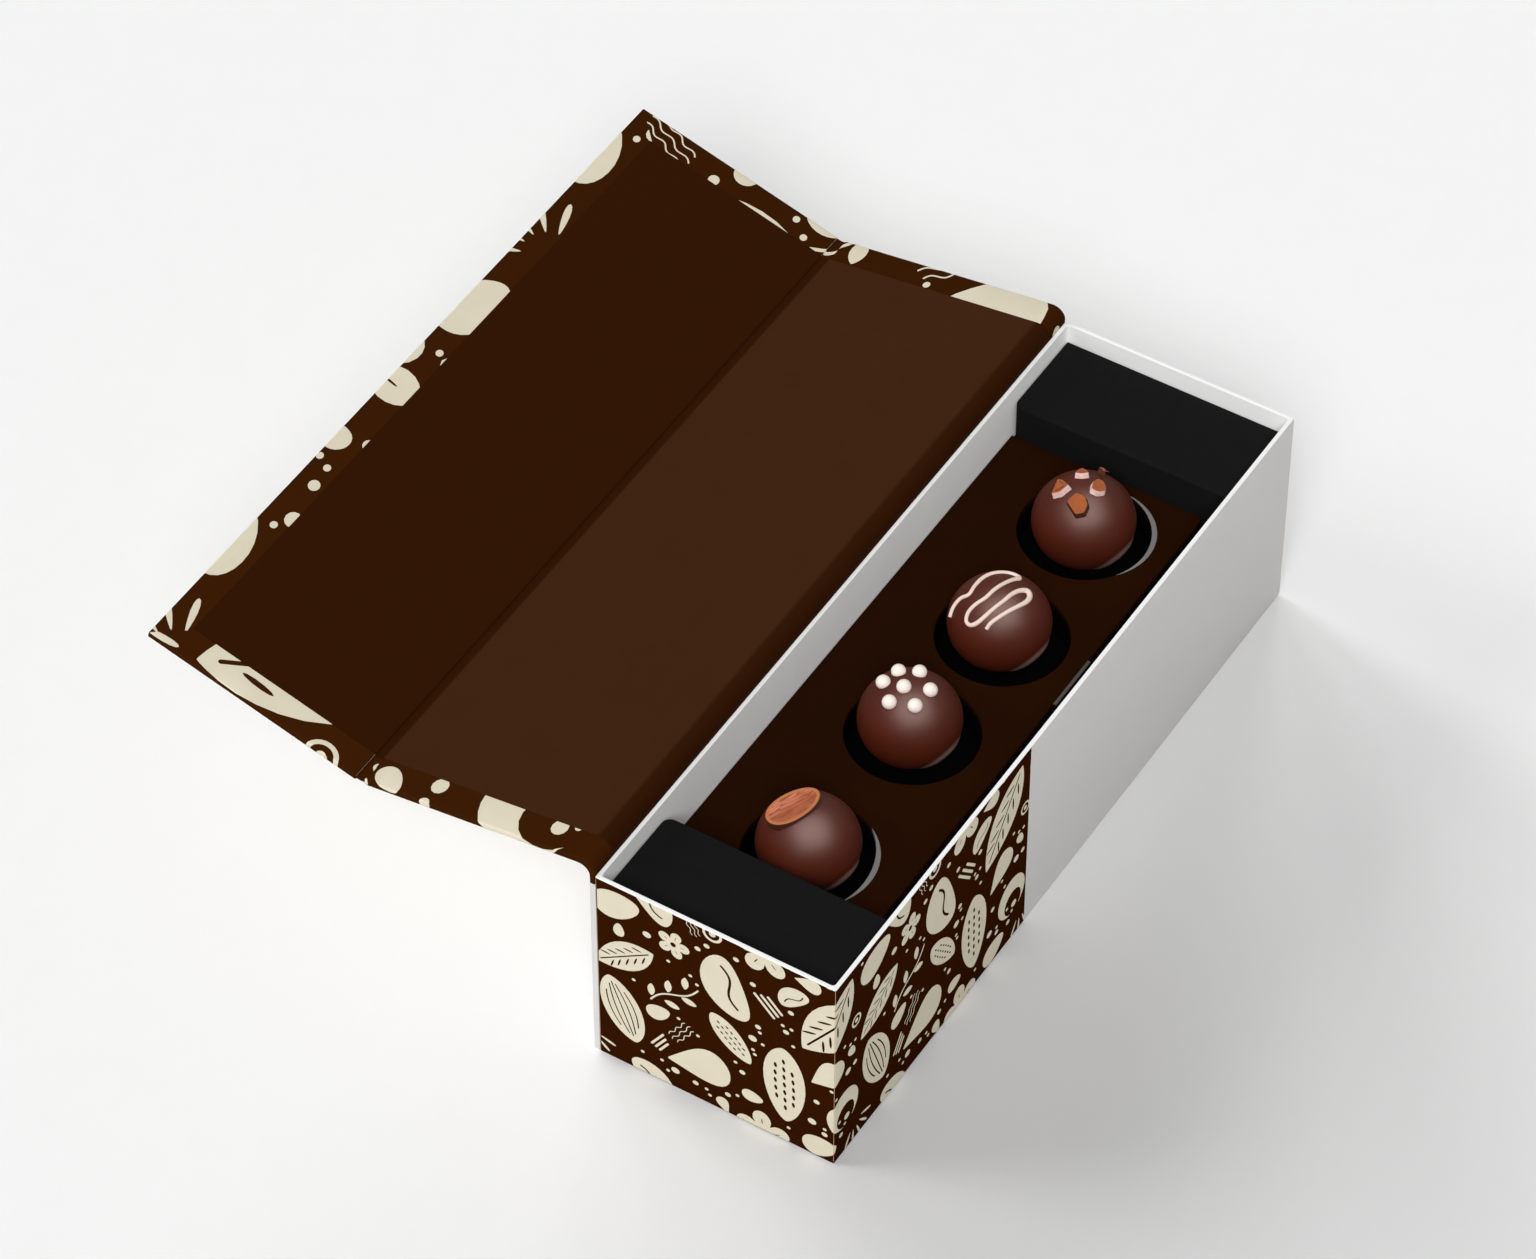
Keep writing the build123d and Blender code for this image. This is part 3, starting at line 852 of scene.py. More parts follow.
@dataclass(frozen=True)
class Pattern:
    """Cocoa motifs scattered on a tile that repeats both ways, all in millimetres."""

    tile: Point = (78.0, 66.0)
    motif_share: float = 1.0
    ink_thickness: float = 0.03
    ink_sunk: float = 0.01
    # Each motif's place on the tile, its turn in degrees and its length
    motifs: tuple = (
        (leaf, 8.3, 46.4, 235, 31), (pod, 73.3, 17.9, 92, 29), (bean, 57.3, 43.5, 109, 23),
        (ridged_pod, 27.9, 17.2, 290, 24), (drop, 49.3, 9.9, 198, 20), (flower, 67.5, 62.0, 24, 17),
        (leaf, 28.8, 37.0, 215, 22), (bean, 36.6, 61.6, 311, 17), (crescent, 13.4, 13.1, 285, 14),
        (pebble, 26.8, 54.4, 201, 15), (pod, 58.4, 25.6, 132, 18), (drop, 7.4, 28.3, 224, 14),
        (twig, 42.7, 31.6, 40, 19), (pebble, 5.2, 1.4, 199, 11), (ring, 53.5, 60.3, 271, 6),
        (fan, 19.2, 1.1, 291, 10), (dashes, 68.9, 44.6, 313, 9), (bean, 75.5, 51.0, 41, 11),
        (ripple, 44.5, 18.8, 56, 10), (flower, 42.6, 49.8, 146, 10), (pebble, 38.1, 22.3, 211, 8),
        (ring, 18.5, 40.8, 16, 4.5), (dashes, 38.8, 11.5, 237, 7), (drop, 1.6, 58.6, 177, 8),
        (pebble, 64.4, 7.7, 181, 6.5), (pebble, 27.4, 45.8, 269, 5), (drop, 56.4, 65.3, 296, 6),
        (ripple, 47.8, 60.1, 113, 8), (pebble, 16.6, 31.5, 128, 4.5))
    # Places of the dots of each diameter
    dots: tuple = (
        (2.4, ((35.3, 48.9), (64.5, 29.5), (15.0, 25.6), (7.3, 61.5), (14.7, 9.4), (3.0, 9.3), (42.7, 3.5))),
        (1.7, ((49.4, 52.6), (12.1, 4.8), (18.1, 25.9), (51.9, 55.1), (75.0, 45.4), (66.0, 34.6), (4.2, 17.3),
               (73.7, 37.6), (48.4, 2.5), (6.5, 6.6), (60.0, 55.3), (57.5, 4.0), (61.6, 15.0), (64.6, 49.2))),
        (1.1, ((49.2, 20.6), (43.8, 23.6), (6.5, 8.5), (41.2, 43.0), (33.4, 4.7), (49.1, 39.3), (11.4, 10.2),
               (51.5, 2.2), (59.7, 17.6), (52.4, 0.5), (8.3, 23.7), (20.7, 58.8), (65.1, 23.9), (67.3, 28.9),
               (75.7, 33.6), (75.2, 39.4), (66.5, 32.8), (29.2, 61.3), (3.1, 62.1), (47.3, 41.5), (31.3, 30.0),
               (74.5, 2.6), (40.6, 2.2), (13.8, 7.4), (13.3, 36.3), (72.8, 39.5), (64.6, 25.4), (18.1, 34.2),
               (38.9, 5.0), (15.9, 34.5), (60.2, 5.4), (9.8, 20.3))))

    def outlines(self, low: Point, high: Point, scale: float, shift: Point) -> list[Loop]:
        """Outlines that reach into a rectangle of the sheet.

        Args:
            low: Lowest corner of the rectangle.
            high: Highest corner.
            scale: Factor on the tile.
            shift: Where the tile's corner lies on the sheet.

        Returns:
            The outlines, holes among them.
        """
        groups = [[placed(loop, x, y, turn, size * self.motif_share) for loop in make()]
                  for make, x, y, turn, size in self.motifs]
        groups += [[placed(oval(1, 0.85, steps=12), x, y, 0, size)] for size, spots in self.dots for x, y in spots]
        wide, deep = self.tile[0] * scale, self.tile[1] * scale
        found = []
        for column in range(math.floor((low[0] - shift[0]) / wide) - 1, math.ceil((high[0] - shift[0]) / wide) + 1):
            for row in range(math.floor((low[1] - shift[1]) / deep) - 1, math.ceil((high[1] - shift[1]) / deep) + 1):
                corner = (shift[0] + column * wide, shift[1] + row * deep)
                for group in groups:
                    moved = [placed(loop, *corner, size=scale) for loop in group]
                    xs, ys = zip(*(point for loop in moved for point in loop))
                    if max(xs) > low[0] and min(xs) < high[0] and max(ys) > low[1] and min(ys) < high[1]:
                        found += moved
        return found

    def print_on(self, name: str, low: Point, high: Point, fold: Fold, along_cuts: Iterable[float] = (),
                 across_cuts: Iterable[float] = (), corners: Iterable[tuple[Point, Point]] = (), scale: float = 1.0,
                 shift: Point = (0.0, 0.0)) -> bpy.types.Object:
        """Lays the pattern's ink on a sheet, cut where the sheet bends, and folds it with the sheet.

        Args:
            name: Name of the piece.
            low: Lowest corner of the printed rectangle on the flat sheet.
            high: Highest corner.
            fold: Place of a point of the flat sheet at a height over it.
            along_cuts: Places along the sheet where it bends.
            across_cuts: Places across the sheet where it bends.
            corners: Slanted cuts at the sheet's corners, each a point and the way that is cut off.
            scale: Factor on the tile.
            shift: Where the tile's corner lies.

        Returns:
            The ink, as thin closed pieces in one mesh.
        """
        curve = bpy.data.curves.new(name, "CURVE")
        curve.dimensions, curve.fill_mode, curve.extrude = "2D", "BOTH", self.ink_thickness / 2
        for loop in self.outlines(low, high, scale, shift):
            spline = curve.splines.new("POLY")
            spline.points.add(len(loop) - 1)
            for point, (x, y) in zip(spline.points, loop):
                point.co = (x, y, 0.0, 1.0)
            spline.use_cyclic_u = True
        piece = mesh_from(name, curve)
        start_edit(piece)
        bpy.ops.mesh.remove_doubles(threshold=WELD_MM)
        edges = [(low, (-1.0, 0.0)), (low, (0.0, -1.0)), (high, (1.0, 0.0)), (high, (0.0, 1.0)), *corners]
        for (x, y), (nx, ny) in edges:
            bpy.ops.mesh.select_all(action="SELECT")
            bpy.ops.mesh.bisect(plane_co=(x, y, 0), plane_no=(nx, ny, 0), use_fill=True, clear_outer=True)
        for x, y, way in [(x, 0.0, (1, 0, 0)) for x in along_cuts] + [(0.0, y, (0, 1, 0)) for y in across_cuts]:
            bpy.ops.mesh.select_all(action="SELECT")
            bpy.ops.mesh.bisect(plane_co=(x, y, 0), plane_no=way)
        end_edit()
        lift = self.ink_thickness / 2 - self.ink_sunk
        for vertex in piece.data.vertices:
            vertex.co = fold(vertex.co.x, vertex.co.y, vertex.co.z + lift)
        start_edit(piece)
        bpy.ops.mesh.normals_make_consistent(inside=False)
        end_edit()
        return piece


# Sub-assemblies


class Lit(Enum):
    """What a lamp lights: everything, the floor alone, everything else, or the chocolates alone."""

    ALL = 0
    FLOOR = 1
    BOX = 2
    SWEETS = 3

    @property
    def state(self) -> str:
        """Says whether the things in its collection are lit or left out."""
        return "EXCLUDE" if self is Lit.BOX else "INCLUDE"


@dataclass(frozen=True)
class Studio:
    """Pale floor and backdrop, soft lamps, and the camera at the photograph's angle."""

    # Camera solved from the box's corners in the photograph: its lens and picture in pixels, the way it stands in
    # degrees, and its distance and aim in millimetres
    focal_pixels: float = 6320.0
    picture_pixels: tuple[int, int] = (1536, 1259)
    azimuth: float = -58.12
    elevation: float = 46.81
    distance: float = 1575.9
    aim_right: float = -45.66
    aim_up: float = 46.17
    sensor: float = 36.0
    # In metres: the nearest and farthest that the camera sees, the floor's side, and how far it lies below the tray
    clip: Point = (0.05, 30.0)
    floor_size: float = 12.0
    floor_drop: float = 0.0001
    floor_second: str = "#F5F5F5"
    backdrop: str = "#F7F7F7"
    sky_strength: float = 0.12
    # Each lamp: its name, strength, spread, bearing and height in degrees, and what it lights. The low ones pass under
    # the open cover and light the floor alone.
    suns: tuple = (
        ("key", 1.72, 25.0, 205.0, 43.0, Lit.ALL), ("back", 0.95, 28.0, 114.0, 31.0, Lit.ALL),
        ("top", 1.05, 60.0, 222.0, 70.0, Lit.BOX), ("low_1", 1.75, 20.0, 24.0, 10.0, Lit.FLOOR),
        ("low_2", 1.4, 22.0, 50.0, 11.0, Lit.FLOOR), ("low_3", 2.75, 22.0, 76.0, 10.0, Lit.FLOOR))
    gloss_power: float = 128.0
    gloss_size: float = 1.15
    gloss_from: Triple = (-0.142, -0.155, 0.976)

    def build(self) -> None:
        """Builds the floor, the sky, the lamps and the camera."""
        self.build_floor()
        self.build_sky()
        self.build_lamps()
        self.build_camera()

    def build_floor(self) -> None:
        """Lays a plain pale floor that takes the box's shadow."""
        bpy.ops.mesh.primitive_plane_add(size=self.floor_size, location=(0, 0, -self.floor_drop))
        floor = bpy.context.object
        floor.name = "floor"
        floor.data.materials.append(
            Finish("floor_paint", self.backdrop, self.floor_second, roughness=0.9, relief_mm=0.0,
                   specular=0.0).make())
        floor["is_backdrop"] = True
        chocolates = [thing for thing in bpy.data.objects if thing.name.startswith("chocolate_")]
        for lit, things in ((Lit.FLOOR, [floor]), (Lit.BOX, [floor]), (Lit.SWEETS, chocolates)):
            lit_things = bpy.data.collections.new(lit.name)
            for number, thing in enumerate(things):
                lit_things.objects.link(thing)
                lit_things.collection_objects[number].light_linking.link_state = lit.state

    def build_sky(self) -> None:
        """Gives an even sky, which the camera and reflections see as the pale backdrop."""
        world = bpy.data.worlds.new("studio")
        bpy.context.scene.world = world
        world.use_nodes = True
        tree = world.node_tree
        tree.nodes.clear()
        light = add_node(tree, "ShaderNodeBackground", inputs={
            "Color": (1.0, 1.0, 1.0, 1.0), "Strength": self.sky_strength})
        seen = add_node(tree, "ShaderNodeBackground", inputs={"Color": linear(self.backdrop), "Strength": 1.0})
        path = add_node(tree, "ShaderNodeLightPath").outputs
        clear = add_node(tree, "ShaderNodeMath", {"operation": "MAXIMUM"}, {
            0: path["Is Camera Ray"], 1: path["Is Transmission Ray"]}).outputs["Value"]
        plain = add_node(tree, "ShaderNodeMath", {"operation": "MAXIMUM"}, {
            0: clear, 1: path["Is Glossy Ray"]}).outputs["Value"]
        mixed = add_node(tree, "ShaderNodeMixShader", inputs={
            0: plain, 1: light.outputs["Background"], 2: seen.outputs["Background"]})
        add_node(tree, "ShaderNodeOutputWorld", inputs={"Surface": mixed.outputs["Shader"]})

    def build_lamps(self) -> None:
        """Hangs the key lamp before the box, the others round it, and a soft box that gives the sweets their gloss."""
        for name, strength, spread, bearing, height, lit in self.suns:
            lamp = bpy.data.lights.new(name, "SUN")
            lamp.energy, lamp.angle = strength, math.radians(spread)
            level = math.cos(math.radians(height))
            holder = self.hang(lamp, (level * math.cos(math.radians(bearing)), level * math.sin(math.radians(bearing)),
                                      math.sin(math.radians(height))))
            holder.visible_glossy = False
            if lit is not Lit.ALL:
                holder.light_linking.receiver_collection = bpy.data.collections[lit.name]
        box = bpy.data.lights.new("gloss", "AREA")
        box.energy, box.size = self.gloss_power, self.gloss_size
        holder = self.hang(box, self.gloss_from)
        holder.visible_diffuse = False
        holder.light_linking.receiver_collection = bpy.data.collections[Lit.SWEETS.name]

    def hang(self, lamp: bpy.types.Light, way: Triple) -> bpy.types.Object:
        """Hangs a lamp a metre away, facing the box.

        Args:
            lamp: The lamp.
            way: Where its light comes from.

        Returns:
            The lamp's object.
        """
        holder = bpy.data.objects.new(lamp.name, lamp)
        holder.location = Vector(way)
        holder.rotation_euler = Vector(way).to_track_quat("Z", "Y").to_euler()
        bpy.context.scene.collection.objects.link(holder)
        return holder

    def build_camera(self) -> None:
        """Sets the camera where the photograph was taken from."""
        turn, rise = math.radians(self.azimuth), math.radians(self.elevation)
        back = Vector((math.sin(turn) * math.cos(rise), -math.cos(turn) * math.cos(rise), math.sin(rise)))
        right = Vector((0, 0, 1)).cross(back).normalized()
        up = back.cross(right)
        eye = back * self.distance + right * self.aim_right + up * self.aim_up
        lens = bpy.data.cameras.new("camera")
        lens.sensor_fit, lens.sensor_width = "HORIZONTAL", self.sensor
        lens.lens = self.focal_pixels / self.picture_pixels[0] * self.sensor
        lens.clip_start, lens.clip_end = self.clip
        camera = bpy.data.objects.new("camera", lens)
        frame = Matrix((right, up, back)).transposed().to_4x4()
        frame.translation = eye * MM
        camera.matrix_world = frame
        bpy.context.scene.collection.objects.link(camera)
        bpy.context.scene.camera = camera
        bpy.context.scene.view_settings.view_transform = "Standard"


@dataclass(frozen=True)
class Tray:
    """Tray of grey board in printed paper, with a white lining that laps over the rim."""

    half_length: float = 110.0
    half_depth: float = 33.0
    height: float = 64.0
    paper: float = 0.15
    board: float = 0.8
    corner: float = 0.45
    lining_lip: float = 0.28
    lining_corner: float = 0.9
    rim_radius: float = 0.22
    # How far an edge's two ends may differ, as a share of the inside's half size, to lie on one loop of the rim, and
    # the least length of such an edge
    loop_slack: float = 0.012
    shortest_edge: float = 0.1
    base_round: float = 0.05
    arc_cuts: int = 3
    pattern: Pattern = Pattern(motif_share=0.91)
    pattern_shift: Point = (-9.0, 3.0)

    def build(self) -> None:
        """Builds the pieces and prints the pattern."""
        self.build_wrap()
        self.build_base()
        self.build_lining()
        self.print_walls()

    def build_wrap(self) -> None:
        """Wraps the printed paper round the four walls."""
        top = self.height - self.lining_lip
        piece = cuboid("tray_wrap", (-self.half_length, -self.half_depth, 0.0),
                       (self.half_length, self.half_depth, top))
        start_edit(piece)
        pick(piece, "FACE", lambda p: p.z > top - NEAR_MM)
        bpy.ops.mesh.delete(type="ONLY_FACE")
        pick(piece, "EDGE", lambda p: p.z < NEAR_MM)
        ends = self.half_length - NEAR_MM
        end_edit()
        pick_edges(piece, lambda a, b, chosen: chosen or (self.upright(a, b) and abs(a.x) > ends))
        bpy.ops.mesh.bevel(offset=self.corner, segments=4, affect="EDGES")
        pick(piece, "FACE", lambda p: p.z < NEAR_MM)
        bpy.ops.mesh.delete(type="FACE")
        end_edit()
        apply_modifier(piece, "SOLIDIFY", thickness=self.paper, offset=-1.0)
        finish_piece(piece, [Surface.PRINTED_GROUND], "printed_wrap", "tray", ["tray_side_wrap"])

    def build_base(self) -> None:
        """Closes the tray below with the plain panel of the wrap."""
        reach = self.corner
        piece = cuboid("tray_base", (-self.half_length + reach, -self.half_depth + reach, 0.0),
                       (self.half_length - reach, self.half_depth - reach, self.paper))
        apply_modifier(piece, "BEVEL", width=self.base_round, segments=2)
        finish_piece(piece, [Surface.PLAIN_PAPER], "plain_wrap", "tray", ["tray_base_wrap"])

    def build_lining(self) -> None:
        """Runs the white lining down the inside of the walls and over the rim."""
        wall = self.board + 2 * self.paper
        inner_x, inner_y = self.half_length - wall, self.half_depth - wall
        piece = cuboid("tray_lining_sheet", (-inner_x, -inner_y, wall), (inner_x, inner_y, self.height))
        start_edit(piece)
        pick(piece, "FACE", lambda p: p.z > self.height - NEAR_MM)
        bpy.ops.mesh.delete(type="ONLY_FACE")
        pick(piece, "FACE", lambda p: p.z < wall + NEAR_MM)
        bpy.ops.mesh.delete(type="ONLY_FACE")
        end_edit()
        pick_edges(piece, lambda a, b, chosen: self.upright(a, b))
        bpy.ops.mesh.bevel(offset=self.lining_corner, segments=5, affect="EDGES")
        for level, out, drop_by in ((self.height, wall, 0.0), (self.height, 0.0, self.lining_lip)):
            self.extrude_rim(piece, level, (inner_x, inner_y), out, drop_by)
        end_edit()
        self.pick_rim_loops(piece, (inner_x, inner_y))
        bpy.ops.mesh.bevel(offset=self.rim_radius, segments=3, affect="EDGES")
        bpy.ops.mesh.select_all(action="SELECT")
        bpy.ops.mesh.normals_make_consistent(inside=False)
        end_edit()
        # The sheet's own thickness goes towards the board
        self.face_up(piece)
        apply_modifier(piece, "SOLIDIFY", thickness=self.paper, offset=-1.0)
        finish_piece(piece, [Surface.LINING], "white_lining", "tray", ["tray_lining"])

    def extrude_rim(self, piece: bpy.types.Object, level: float, inner: Point, out: float, drop_by: float) -> None:
        """Draws the lining's free upper edge out over the rim, or down outside it.

        Args:
            piece: Lining whose mesh is open.
            level: Height of the free edge.
            inner: Half size of the tray's inside.
            out: How far the edge goes outward.
            drop_by: How far it goes down.
        """
        bpy.ops.mesh.select_mode(type="EDGE")
        bpy.ops.mesh.select_all(action="DESELECT")
        bpy.ops.mesh.select_non_manifold()
        end_edit()
        pick_edges(piece, lambda a, b, chosen: chosen and min(a.z, b.z) > level - NEAR_MM)
        bpy.ops.mesh.extrude_region_move(TRANSFORM_OT_translate={"value": (0, 0, -drop_by)})
        end_edit()
        for vertex in piece.data.vertices:
            if vertex.select and out:
                # A corner's arc shrinks to the wrap's own as it goes outward
                for axis in (0, 1):
                    past = abs(vertex.co[axis]) - (inner[axis] - self.lining_corner)
                    reach = inner[axis] + out - self.corner + past * self.corner / self.lining_corner
                    if past > -WELD_MM:
                        vertex.co[axis] = math.copysign(reach, vertex.co[axis])
        bpy.ops.object.mode_set(mode="EDIT")

    def upright(self, a: Vector, b: Vector) -> bool:
        """Says whether an edge between these ends stands upright, which on the tray is to rise over a millimetre."""
        return abs(a.z - b.z) > 1.0

    def pick_rim_loops(self, piece: bpy.types.Object, inner: Point) -> None:
        """Selects only the two loops along the rim, inner and outer, and opens the mesh.

        Args:
            piece: Lining whose mesh is closed.
            inner: Half size of the tray's inside.
        """
        def on_loop(a: Vector, b: Vector, chosen: bool) -> bool:
            """Says whether an edge runs along the rim at one distance from the middle, and not across it."""
            reach = [max(abs(p.x) / inner[0], abs(p.y) / inner[1]) for p in (a, b)]
            along = abs(reach[0] - reach[1]) < self.loop_slack and (a - b).length > self.shortest_edge
            return along and min(a.z, b.z) > self.height - NEAR_MM

        pick_edges(piece, on_loop)

    def face_up(self, piece: bpy.types.Object) -> None:
        """Turns the open sheet so that its rim faces up.

        Args:
            piece: Lining as an open sheet.
        """
        top = max(piece.data.polygons, key=lambda face: (round(face.center.z, 3), face.area))
        if top.normal.z < 0:
            turn_over(piece)

    def wall_point(self, along: float, up: float, height: float) -> Vector:
        """Place on the printed walls.

        Args:
            along: Length along the sheet, from the front left corner: the front wall ahead, the left end behind.
            up: Height over the table.
            height: Height over the paper.

        Returns:
            The place.
        """
        quarter = self.corner * math.pi / 4
        past, turn = abs(along) - quarter, max(-1.0, min(1.0, along / quarter)) * math.pi / 4
        centre = Vector((-self.half_length + self.corner, -self.half_depth + self.corner, up))
        facing = Vector((-math.cos(math.pi / 4 + turn), -math.sin(math.pi / 4 + turn), 0))
        run = Vector((1, 0, 0)) if along > 0 else Vector((0, 1, 0))
        return centre + facing * (self.corner + height) + run * max(past, 0.0)

    def print_walls(self) -> None:
        """Prints the pattern on the left end and the near part of the front."""
        quarter = self.corner * math.pi / 4
        cuts = [quarter * k / self.arc_cuts for k in range(-self.arc_cuts, self.arc_cuts + 1)]
        front = PRINT_BORDER_X + self.half_length - self.corner + quarter
        side = 2 * (self.half_depth - self.corner) + quarter
        piece = self.pattern.print_on(
            "tray_pattern", (-side, self.corner), (front, self.height - self.lining_lip), self.wall_point,
            along_cuts=cuts, shift=self.pattern_shift)
        finish_piece(piece, [Surface.PATTERN_INK], "printed_wrap", "tray")


@dataclass(frozen=True)
class Station:
    """One section of the cover: its outer and inner face as Y and Z, and how far it is drawn in at a free edge."""

    outer: Vector
    inner: Vector
    inset: float = 0.0

    def inward(self) -> tuple[Vector, float]:
        """Gives the way from the outer to the inner face, and how far apart they are."""
        way = self.inner - self.outer
        return way / way.length, way.length


@dataclass(frozen=True)
class Cover:
    """Book cover: back panel, spine, lid and flap in one wrap, with a plain liner inside."""

    half_length: float = 110.0
    thickness: float = 1.8
    corner: float = 0.45
    corner_points: int = 5
    paper: float = 0.12
    liner: float = 0.15
    # The hinge as Y and Z, and by how many degrees the lid falls and the flap rises from level
    hinge: Point = (33.2, 66.45)
    droop: float = 8.11
    rise: float = 15.55
    # Height of the lid's outer face over the hinge, and where the lid becomes flat; then the crease's place along and
    # over the lid, half the groove between the boards, and the flap's length from the crease
    lid_outer: float = 0.2
    lid_root: float = 5.17
    fold_along: float = 67.0
    fold_out: float = 1.65
    half_groove: float = 1.3
    flap_end: float = 62.9
    # Width of the printed borders that show beside the liner, and how far their print runs on under it
    end_border: float = 8.2
    free_border: float = 7.6
    border_hidden: float = 0.4
    back_face: float = 34.65
    tray_back: float = 33.0
    back_foot: float = 0.4
    back_proud: float = 0.05
    back_sunk: float = 0.02
    back_round: float = 0.3
    back_paper: float = 0.1
    strip_foot: float = 61.0
    # The bend over the rim: its radius outside and inside, and its steps
    spine_radius: float = 2.8
    liner_radius: float = 3.45
    spine_steps: int = 12
    seam: float = 11.0
    # Section of the spine that, with the one before it, marks where inside the bend the sheet would go over from the
    # tray to the lid, and the length of that change; the script moves no part of the sheet by them
    hand_over_at: int = 6
    hand_over: float = 0.02
    crease_depth: float = 0.12
    crease_paper: float = 0.35
    # Distances before the crease at which the sheet is still level
    crease_run: Point = (1.2, 0.45)
    # Sections at the crease: place and share of the depth outside, where the sheet keeps clear of the board's corner,
    # then both inside, where it sinks in softly
    crease: tuple = ((-0.1, 0.0, -0.22, 0.12), (0.02, 0.06, -0.06, 0.35), (0.12, 0.3, 0.0, 0.7),
                     (0.18, 0.75, 0.12, 0.93), (0.5, 1.0, 0.5, 1.0))
    # Least flat left between a board's two round corners, and least radius of a corner
    least_flat: float = 0.02
    least_radius: float = 0.01
    arc_cuts: int = 3
    pattern: Pattern = Pattern()
    pattern_scale: float = 2.1
    pattern_shift: Point = (-149.0, 134.9)

    def lid(self, along: float, out: float) -> Vector:
        """Point of the lid's section, as Y and Z, from its distance along the lid and height over the hinge."""
        turn = math.radians(self.droop)
        return Vector((self.hinge[0] + along * math.cos(turn) + out * math.sin(turn),
                       self.hinge[1] - along * math.sin(turn) + out * math.cos(turn)))

    def flap(self, along: float, out: float) -> Vector:
        """Point of the flap's section, as Y and Z, from its distance along the flap and height over the crease."""
        turn = math.radians(self.rise)
        return self.lid(self.fold_along, self.fold_out) + Vector((
            along * math.cos(turn) - out * math.sin(turn), along * math.sin(turn) + out * math.cos(turn)))

    def spine_stations(self) -> list[Station]:
        """Sections from the spine's foot, round the bend over the rim, to the seam on the lid.

        Returns:
            The sections.
        """
        turn = math.pi / 2 + math.radians(self.droop)
        inner_y = self.tray_back + self.liner
        inner_out = self.lid_outer + self.thickness
        outer_low = self.upright_meets(self.back_face, self.lid_outer) - self.spine_radius * math.tan(turn / 2)
        inner_low = self.upright_meets(inner_y, inner_out) - self.liner_radius * math.tan(turn / 2)
        stations = [Station(Vector((self.back_face, self.strip_foot)), Vector((inner_y, self.strip_foot)))]
        for step in range(self.spine_steps + 1):
            angle = turn * step / self.spine_steps
            way = Vector((-math.cos(angle), math.sin(angle)))
            stations.append(Station(
                Vector((self.back_face + self.spine_radius, outer_low)) + way * self.spine_radius,
                Vector((inner_y + self.liner_radius, inner_low)) + way * self.liner_radius))
        stations += [Station(self.lid(s, self.lid_outer), self.lid(s, inner_out)) for s in (self.lid_root, self.seam)]
        return stations

    def upright_meets(self, y: float, out: float) -> float:
        """Height at which the lid's face at this height over the hinge meets an upright plane."""
        a, b = self.lid(0, out), self.lid(1, out)
        return a.y + (b.y - a.y) * (y - a.x) / (b.x - a.x)

    def panel_stations(self) -> list[Station]:
        """Sections from the seam on the lid, over the crease, to the flap's free edge.

        Returns:
            The sections.
        """
        low, high = self.lid_outer, self.lid_outer + self.thickness
        crease_high = self.fold_out - self.crease_depth
        crease_low = crease_high - self.crease_paper
        edge = self.fold_along - self.half_groove
        stations = [Station(self.lid(s, low), self.lid(s, high))
                    for s in (self.seam, *(edge - run for run in self.crease_run))]
        for outer_s, outer_dip, s, dip in self.crease:
            stations.append(Station(self.lid(edge + outer_s, low + (crease_low - low) * outer_dip),
                                    self.lid(edge + s, high + (crease_high - high) * dip ** 2)))
        stations.append(Station(self.lid(self.fold_along, crease_low), self.lid(self.fold_along, crease_high)))
        level = self.fold_out
        level_rows = [(-run, 0.0, -run, 0.0) for run in self.crease_run[::-1]]
        for outer_s, outer_dip, s, dip in (*self.crease[::-1], *level_rows):
            stations.append(Station(
                self.flap(self.half_groove - outer_s, low + (crease_low - low) * outer_dip - level),
                self.flap(self.half_groove - s, high + (crease_high - high) * dip ** 2 - level)))
        flat_end = self.flap_end - self.corner
        for step in range(self.corner_points):
            turn = math.pi / 2 * step / (self.corner_points - 1)
            inset = self.corner * (1 - math.cos(turn))
            s = flat_end + self.corner * math.sin(turn)
            stations.append(Station(self.flap(s, low - level), self.flap(s, high - level), inset))
        return stations

    def section_point(self, station: Station, number: int) -> Vector:
        """Point of the wrap's round-cornered section.

        Args:
            station: The section.
            number: Which of its points.

        Returns:
            The point.
        """
        inward, thick = station.inward()
        radius = max(min(self.corner, thick / 2 - self.least_flat) - station.inset, self.least_radius)
        reach = self.half_length - station.inset - radius
        low, high = station.inset + radius, thick - station.inset - radius
        quarter, step = divmod(number % (4 * self.corner_points), self.corner_points)
        x, down = ((-reach, low), (reach, low), (reach, high), (-reach, high))[quarter]
        angle = math.pi * (1 + quarter / 2) + math.pi / 2 * step / (self.corner_points - 1)
        x, down = x + radius * math.cos(angle), down + radius * math.sin(angle)
        at = station.outer + inward * down
        return Vector((x, at.x, at.y))

    def wrap(self, name: str, stations: list[Station]) -> bpy.types.Object:
        """Rolls the wrap round the boards through these sections.

        Args:
            name: Name of the piece.
            stations: Sections along the cover.

        Returns:
            The piece, a closed skin of paper.
        """
        piece = folded_grid(name, 4 * self.corner_points + 1, len(stations),
                            lambda column, row: self.section_point(stations[row], column))
        start_edit(piece)
        bpy.ops.mesh.remove_doubles(threshold=WELD_MM)
        bpy.ops.mesh.select_all(action="DESELECT")
        bpy.ops.mesh.select_mode(type="EDGE")
        bpy.ops.mesh.select_non_manifold()
        bpy.ops.mesh.edge_face_add()
        bpy.ops.mesh.select_all(action="SELECT")
        bpy.ops.mesh.fill_holes(sides=0)
        bpy.ops.mesh.normals_make_consistent(inside=False)
        end_edit()
        apply_modifier(piece, "SOLIDIFY", thickness=self.paper, offset=-1.0)
        return piece

